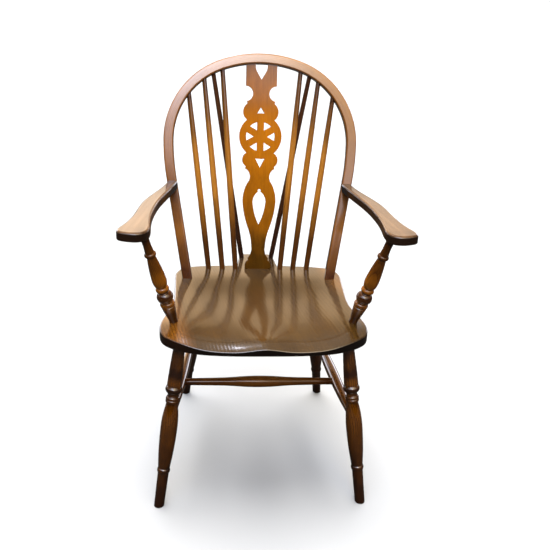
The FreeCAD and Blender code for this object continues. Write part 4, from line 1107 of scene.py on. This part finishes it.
@dataclass
class TurnedUnderframe:
    """Turned arm posts, legs and stretchers.

    Attributes:
        heart_reach: way from a piece's axis to the heart of its tree.
        heart_turn: how far the heart turns from one piece to the next, in degrees.
        heart_shift: how far the next piece lies along its tree.
        leg: stain and lacquer of the legs.
        post: stain and lacquer of the arm posts.
        cross: stain and lacquer of the cross stretcher.
    """

    heart_reach: float = 0.045
    heart_turn: float = 50.0
    heart_shift: float = 0.3
    leg: WoodFinish = WoodFinish(
        "leg_stain", dark=(0.038, 0.012, 0.001), middle=(0.068, 0.022, 0.001), light=(0.14, 0.048, 0.0018),
        toner=(0.16, 0.13, 0.3), mottle=0.3,
        tones=((0.0, 1.0), (0.12, 0.85), (0.27, 0.7), (0.4, 0.38),
               (0.53, 0.2), (0.64, 0.55), (0.68, 1.0), (0.72, 0.2),
               (0.77, 1.0), (0.82, 0.5), (1.0, 0.95)),
        gloss=0.09, dull=0.17, coats=((0.0, 0.6), (1.0, 0.6)))
    post: WoodFinish = WoodFinish(
        "post_stain", dark=(0.05, 0.015, 0.001), middle=(0.15, 0.05, 0.0025), light=(0.40, 0.14, 0.006),
        toner=(0.14, 0.12, 0.3),
        tones=((0.0, 1.0), (0.18, 0.85), (0.27, 0.35), (0.38, 0.9),
               (0.45, 0.05), (0.54, 0.0), (0.68, 0.65), (0.85, 0.8),
               (1.0, 1.0)), gloss=0.09, dull=0.17, shine=0.22,
        coats=((0.0, 0.0), (0.18, 0.0), (0.24, 1.0), (0.36, 1.0),
               (0.44, 0.4), (1.0, 0.4)))
    cross: WoodFinish = WoodFinish(
        "stretcher_stain", dark=(0.05, 0.017, 0.003), middle=(0.095, 0.035, 0.006),
        light=(0.16, 0.062, 0.011),
        tones=((0.0, 1.0), (0.2, 0.5), (0.5, 0.2), (0.8, 0.5),
               (1.0, 1.0)), gloss=0.1, dull=0.18, shine=0.2,
        coats=((0.0, 0.1), (1.0, 0.1)))

    def __post_init__(self) -> None:
        """Take the side stretchers' finish from the cross stretcher's, with a full coat."""
        full = ((0.0, 1.0), (1.0, 1.0))
        self.side = replace(self.cross, label="side_stretcher_stain", shine=0.6, coats=full)

    def dress(self, groups: TimberGroups) -> None:
        """Stain each turned piece with its fibres along its axis.

        Args:
            groups: the shared node groups.
        """
        kinds = (("leg_front", self.leg), ("leg_rear", self.leg), ("arm_post", self.post),
                 ("side_stretcher", self.side))
        pieces = [(f"{kind}_{side}", finish) for kind, finish in kinds for side in SIDES]
        pieces.append(("cross_stretcher", self.cross))
        for index, (name, finish) in enumerate(pieces):
            bearing = math.radians(self.heart_turn * index)
            reach = self.heart_reach
            heart = (reach * math.cos(bearing), reach * math.sin(bearing), self.heart_shift * index)
            paint(name, finish.material(groups, name, turned_frame(name), heart))


class Bearing(Enum):
    """Measures of a way into the studio, as shares of its length."""

    ACROSS = "to the chair's left"
    BESIDE = "to either side"
    DEPTH = "to the back"
    RISE = "up"


@dataclass(frozen=True)
class Fade:
    """A change of a light with the way that it is seen in.

    Attributes:
        bearing: the measure that it follows.
        start: where the change begins.
        end: where it is over.
        before: share of the light up to the start.
        after: share of the light from the end on.
        eased: whether the change eases in and out.
    """

    bearing: Bearing
    start: float
    end: float
    before: float = 0.0
    after: float = 1.0
    eased: bool = True

    def over(self, bench: NodeBench, ways: dict[Bearing, Socket]) -> Socket:
        """The socket of the light's share, from the sockets of the measures."""
        return bench.remap(ways[self.bearing], self.start, self.end, self.before, self.after, self.eased)


@dataclass(frozen=True)
class LightPanel:
    """A bright part of the studio.

    Attributes:
        light: its light where it is brightest.
        fades: how the light falls off.
    """

    light: float
    fades: tuple[Fade, ...]

    def over(self, bench: NodeBench, ways: dict[Bearing, Socket]) -> Socket:
        """The light in a way.

        Args:
            bench: the world's nodes.
            ways: sockets of the measures.

        Returns:
            The light's socket.
        """
        light: Value = self.light
        for fade in self.fades:
            light = bench.math("MULTIPLY", fade.over(bench, ways), light)
        return light


@dataclass(frozen=True)
class Sky:
    """Soft light from all round: a wall behind, a wall with a window and a panel in front, a dim ceiling.

    Attributes:
        to_front: passage from the wall behind to the one in front.
        wall: the wall behind, which passes into the ceiling.
        cove: bright strips low behind, to both sides.
        window: tall window in front.
        key: wide panel above the window.
        front_light: light of the wall in front, above its dark foot.
        front_sides: falling off of that wall to both sides.
        right_foot: rises between which that wall comes up out of the dark, to the chair's right.
        left_foot: the same to the chair's left.
        foot_step: where the one passes into the other, across.
        daylight: colour of the light in front, low down and to the right, and of the cove.
        lamplight: colour of the light in front to the left and higher up.
        lamp_side: passage from daylight to lamplight, across.
        lamp_rise: passage from daylight to that, upwards.
        cream_wall: colour of the light low behind and of the ceiling.
        amber_wall: colour of the light behind, higher up.
        amber_rise: passage from cream to amber.
        ceiling_rise: passage from amber back to cream.
    """

    to_front: Fade = Fade(Bearing.DEPTH, -0.05, -0.45)
    wall: LightPanel = LightPanel(2.1, (
        Fade(Bearing.RISE, 0.43, 0.62, 1.0, 0.43), Fade(Bearing.RISE, 0.12, 0.2),
        Fade(Bearing.ACROSS, -0.07, 0.22, 1.0, 0.62, eased=False),
        Fade(Bearing.ACROSS, -0.17, -0.09, 1.4, 1.0), Fade(Bearing.BESIDE, 0.3, 0.6, 1.0, 0.35)))
    cove: LightPanel = LightPanel(4.0, (
        Fade(Bearing.BESIDE, 0.3, 0.45), Fade(Bearing.DEPTH, 0.5, 0.75),
        Fade(Bearing.RISE, -0.02, 0.05), Fade(Bearing.RISE, 0.2, 0.35, 1.0, 0.0)))
    window: LightPanel = LightPanel(7.0, (
        Fade(Bearing.ACROSS, -0.13, -0.05, 0.15, 1.0, eased=False),
        Fade(Bearing.ACROSS, 0.075, 0.145, 1.0, 0.15, eased=False),
        Fade(Bearing.RISE, 0.415, 0.485), Fade(Bearing.RISE, 0.62, 0.75, 1.0, 0.0)))
    key: LightPanel = LightPanel(5.5, (
        Fade(Bearing.RISE, 0.52, 0.62), Fade(Bearing.RISE, 0.82, 0.92, 1.0, 0.0),
        Fade(Bearing.BESIDE, 0.25, 0.5, 1.0, 0.1)))
    front_light: float = 2.4
    front_sides: Fade = Fade(Bearing.BESIDE, 0.3, 0.85, 1.0, 0.25, eased=False)
    right_foot: tuple[float, float] = (0.33, 0.41)
    left_foot: tuple[float, float] = (0.235, 0.285)
    foot_step: tuple[float, float] = (0.0, 0.04)
    daylight: Colour = (0.96, 0.98, 1.10)
    lamplight: Colour = (1.0, 0.80, 0.55)
    lamp_side: Fade = Fade(Bearing.ACROSS, -0.04, 0.15, eased=False)
    lamp_rise: Fade = Fade(Bearing.RISE, 0.32, 0.41, eased=False)
    cream_wall: Colour = (1.0, 0.86, 0.70)
    amber_wall: Colour = (1.0, 0.70, 0.42)
    amber_rise: Fade = Fade(Bearing.RISE, 0.32, 0.43, eased=False)
    ceiling_rise: Fade = Fade(Bearing.RISE, 0.6, 0.7, eased=False)

    def build(self) -> None:
        """Make the world, which looks plain white itself."""
        world = bpy.data.worlds.new("studio")
        bpy.context.scene.world = world
        world.use_nodes = True
        bench = NodeBench(world.node_tree)
        axes = bench.add("ShaderNodeSeparateXYZ")
        bench.feed(axes.inputs[0], bench.add("ShaderNodeTexCoord").outputs["Generated"])
        ways = {Bearing.ACROSS: axes.outputs["X"], Bearing.DEPTH: axes.outputs["Y"],
                Bearing.RISE: axes.outputs["Z"], Bearing.BESIDE: bench.math("ABSOLUTE", axes.outputs["X"])}
        front = self.to_front.over(bench, ways)
        behind = bench.math("ADD", self.wall.over(bench, ways), self.cove.over(bench, ways))
        light = bench.remap(front, 0.0, 1.0, behind, self._ahead(bench, ways))
        seen = bench.add("ShaderNodeLightPath").outputs["Is Camera Ray"]
        tint = bench.mix(front, self._tint_behind(bench, ways), self._tint_ahead(bench, ways))
        background = world.node_tree.nodes["Background"]
        bench.feed(background.inputs["Color"], bench.mix(seen, tint, (1.0, 1.0, 1.0)))
        bench.feed(background.inputs["Strength"], bench.math("MAXIMUM", seen, light))

    def _ahead(self, bench: NodeBench, ways: dict[Bearing, Socket]) -> Socket:
        """The light of all that is in front.

        Args:
            bench: the world's nodes.
            ways: sockets of the measures.

        Returns:
            The light's socket.
        """
        dark, full = (bench.remap(ways[Bearing.ACROSS], *self.foot_step, right, left, True)
                      for right, left in zip(self.right_foot, self.left_foot))
        wall = bench.remap(ways[Bearing.RISE], dark, full, 0.0, self.front_light, True)
        light = bench.math("MULTIPLY", wall, self.front_sides.over(bench, ways))
        for panel in (self.window, self.key):
            light = bench.math("ADD", light, panel.over(bench, ways))
        return light

    def _tint_ahead(self, bench: NodeBench, ways: dict[Bearing, Socket]) -> Socket:
        """The colour's socket of the light in front, from the sockets of the measures."""
        higher = bench.mix(self.lamp_side.over(bench, ways), self.daylight, self.lamplight)
        return bench.mix(self.lamp_rise.over(bench, ways), self.daylight, higher)

    def _tint_behind(self, bench: NodeBench, ways: dict[Bearing, Socket]) -> Socket:
        """The colour of the light behind.

        Args:
            bench: the world's nodes.
            ways: sockets of the measures.

        Returns:
            The colour's socket.
        """
        tint = bench.mix(self.amber_rise.over(bench, ways), self.cream_wall, self.amber_wall)
        tint = bench.mix(self.ceiling_rise.over(bench, ways), tint, self.cream_wall)
        sideways, backwards = (fade.over(bench, ways) for fade in self.cove.fades[:2])
        return bench.mix(bench.math("MULTIPLY", sideways, backwards), tint, self.daylight)


@dataclass
class Studio:
    """Pale floor, soft light and the camera at the photograph's angle.

    Attributes:
        sky: soft light from all round.
        floor_reach: half of the floor's side.
        floor_tone: how pale the floor is.
        floor_balance: what the floor's colour is multiplied by to come out neutral in this light.
        floor_bounce: how much of the light the floor throws back on the chair.
        floor_fleck: share by which the floor's tone varies.
        floor_patches: sizes of the floor's patches.
        overhead_light: light that falls on the floor from above.
        overhead_spread: angle that the light above covers, in degrees.
        overhead_from: the way to the light above.
        glint_place: place of the strip lamp behind.
        glint_aim: where it points.
        glint_size: its width and height.
        glint_power: its power in watts.
        camera_place: the camera's place.
        camera_pitch: how far the camera looks down, in degrees.
        camera_yaw: how far it looks to the chair's left, in degrees.
        camera_roll: how far it is rolled, in degrees.
        lens: focal length on a film 36 mm wide, in millimetres.
    """

    sky: Sky = Sky()
    floor_reach: float = 40.0
    floor_tone: float = 0.25
    floor_balance: Colour = (1.0, 1.11, 1.24)
    floor_bounce: float = 0.015
    floor_fleck: float = 0.02
    floor_patches: Streak = Streak(3.0)
    overhead_light: float = 3.4
    overhead_spread: float = 55.0
    overhead_from: Place = (-0.03, 0.3, 1.0)
    glint_place: Place = (-0.23, 0.755, 2.15)
    glint_aim: Place = (-0.04, -0.24, 0.42)
    glint_size: tuple[float, float] = (0.25, 0.12)
    glint_power: float = 2.2
    camera_place: Place = (-0.11565, -1.55916, 1.18484)
    camera_pitch: float = 24.15
    camera_yaw: float = 5.49
    camera_roll: float = 2.74
    lens: float = 45.16

    def build(self) -> None:
        """Set up the floor, the light and the camera."""
        self._floor()
        self.sky.build()
        self._overhead()
        self._glint()
        self._camera()
        bpy.context.scene.view_settings.view_transform = "Standard"

    def _floor(self) -> None:
        """A wide pale floor."""
        deselect_all()
        bpy.ops.mesh.primitive_plane_add(size=2 * self.floor_reach)
        floor = bpy.context.object
        floor.name = "studio_floor"
        paper = bpy.data.materials.new("studio_paper")
        paper.use_nodes = True
        bench = NodeBench(paper.node_tree)
        patches = bench.noise(bench.add("ShaderNodeTexCoord").outputs["Object"], self.floor_patches)
        shades = []
        for gain in (1.0 - self.floor_fleck, 1.0 + self.floor_fleck):
            shades.append(tuple(self.floor_tone * gain * balance for balance in self.floor_balance))
        pale = bench.ramp(patches, list(zip(NOISE_RANGE, shades)))
        seen = bench.add("ShaderNodeLightPath").outputs["Is Camera Ray"]
        shader = paper.node_tree.nodes["Principled BSDF"]
        bench.feed(shader.inputs["Base Color"], bench.mix(seen, (self.floor_bounce,) * 3, pale))
        shader.inputs["Roughness"].default_value = 0.9
        shader.inputs["Specular IOR Level"].default_value = 0.1
        floor.data.materials.append(paper)

    def _overhead(self) -> None:
        """A wide soft light from above and behind, which throws the shadow on the floor."""
        light = bpy.data.lights.new("overhead_light", "SUN")
        light.energy = self.overhead_light * math.pi
        light.angle = math.radians(self.overhead_spread)
        light.color = tuple(1.0 / balance for balance in self.floor_balance)
        holder = bpy.data.objects.new("overhead_light", light)
        holder.rotation_euler = (-Vector(self.overhead_from)).to_track_quat("-Z", "Y").to_euler()
        holder.visible_glossy = False
        bpy.context.scene.collection.objects.link(holder)

    def _glint(self) -> None:
        """A strip lamp high up behind, seen only as a glint along the seat's front."""
        light = bpy.data.lights.new("glint_strip", "AREA")
        light.shape = "RECTANGLE"
        light.size, light.size_y = self.glint_size
        light.energy = self.glint_power
        light.color = self.sky.daylight
        holder = bpy.data.objects.new("glint_strip", light)
        holder.location = self.glint_place
        beam = Vector(self.glint_aim) - Vector(self.glint_place)
        holder.rotation_euler = beam.to_track_quat("-Z", "Y").to_euler()
        holder.visible_diffuse = False
        bpy.context.scene.collection.objects.link(holder)

    def _camera(self) -> None:
        """The camera, from its place and three angles."""
        camera = bpy.data.cameras.new("photo_camera")
        camera.lens = self.lens
        camera.clip_end = 4 * self.floor_reach
        pitch, yaw, roll = (math.radians(a) for a in (self.camera_pitch, self.camera_yaw, self.camera_roll))
        ahead = Vector((math.sin(yaw) * math.cos(pitch), math.cos(yaw) * math.cos(pitch), -math.sin(pitch)))
        level = Vector((math.cos(yaw), -math.sin(yaw), 0.0))
        rise = level.cross(ahead)
        right = math.cos(roll) * level + math.sin(roll) * rise
        up = math.cos(roll) * rise - math.sin(roll) * level
        turn = Matrix((right, up, -ahead)).transposed().to_4x4()
        holder = bpy.data.objects.new("photo_camera", camera)
        holder.matrix_world = Matrix.Translation(Vector(self.camera_place)) @ turn
        bpy.context.scene.collection.objects.link(holder)
        bpy.context.scene.camera = holder


def main() -> None:
    """Dress the chair and set the studio up round it."""
    groups = TimberGroups()
    for assembly in (Seat(), Bow(), Splat(), BackSticks(), Arms(), TurnedUnderframe()):
        assembly.dress(groups)
        log.info("finished %s", type(assembly).__name__)
    Studio().build()


if __name__ == "__main__":
    main()
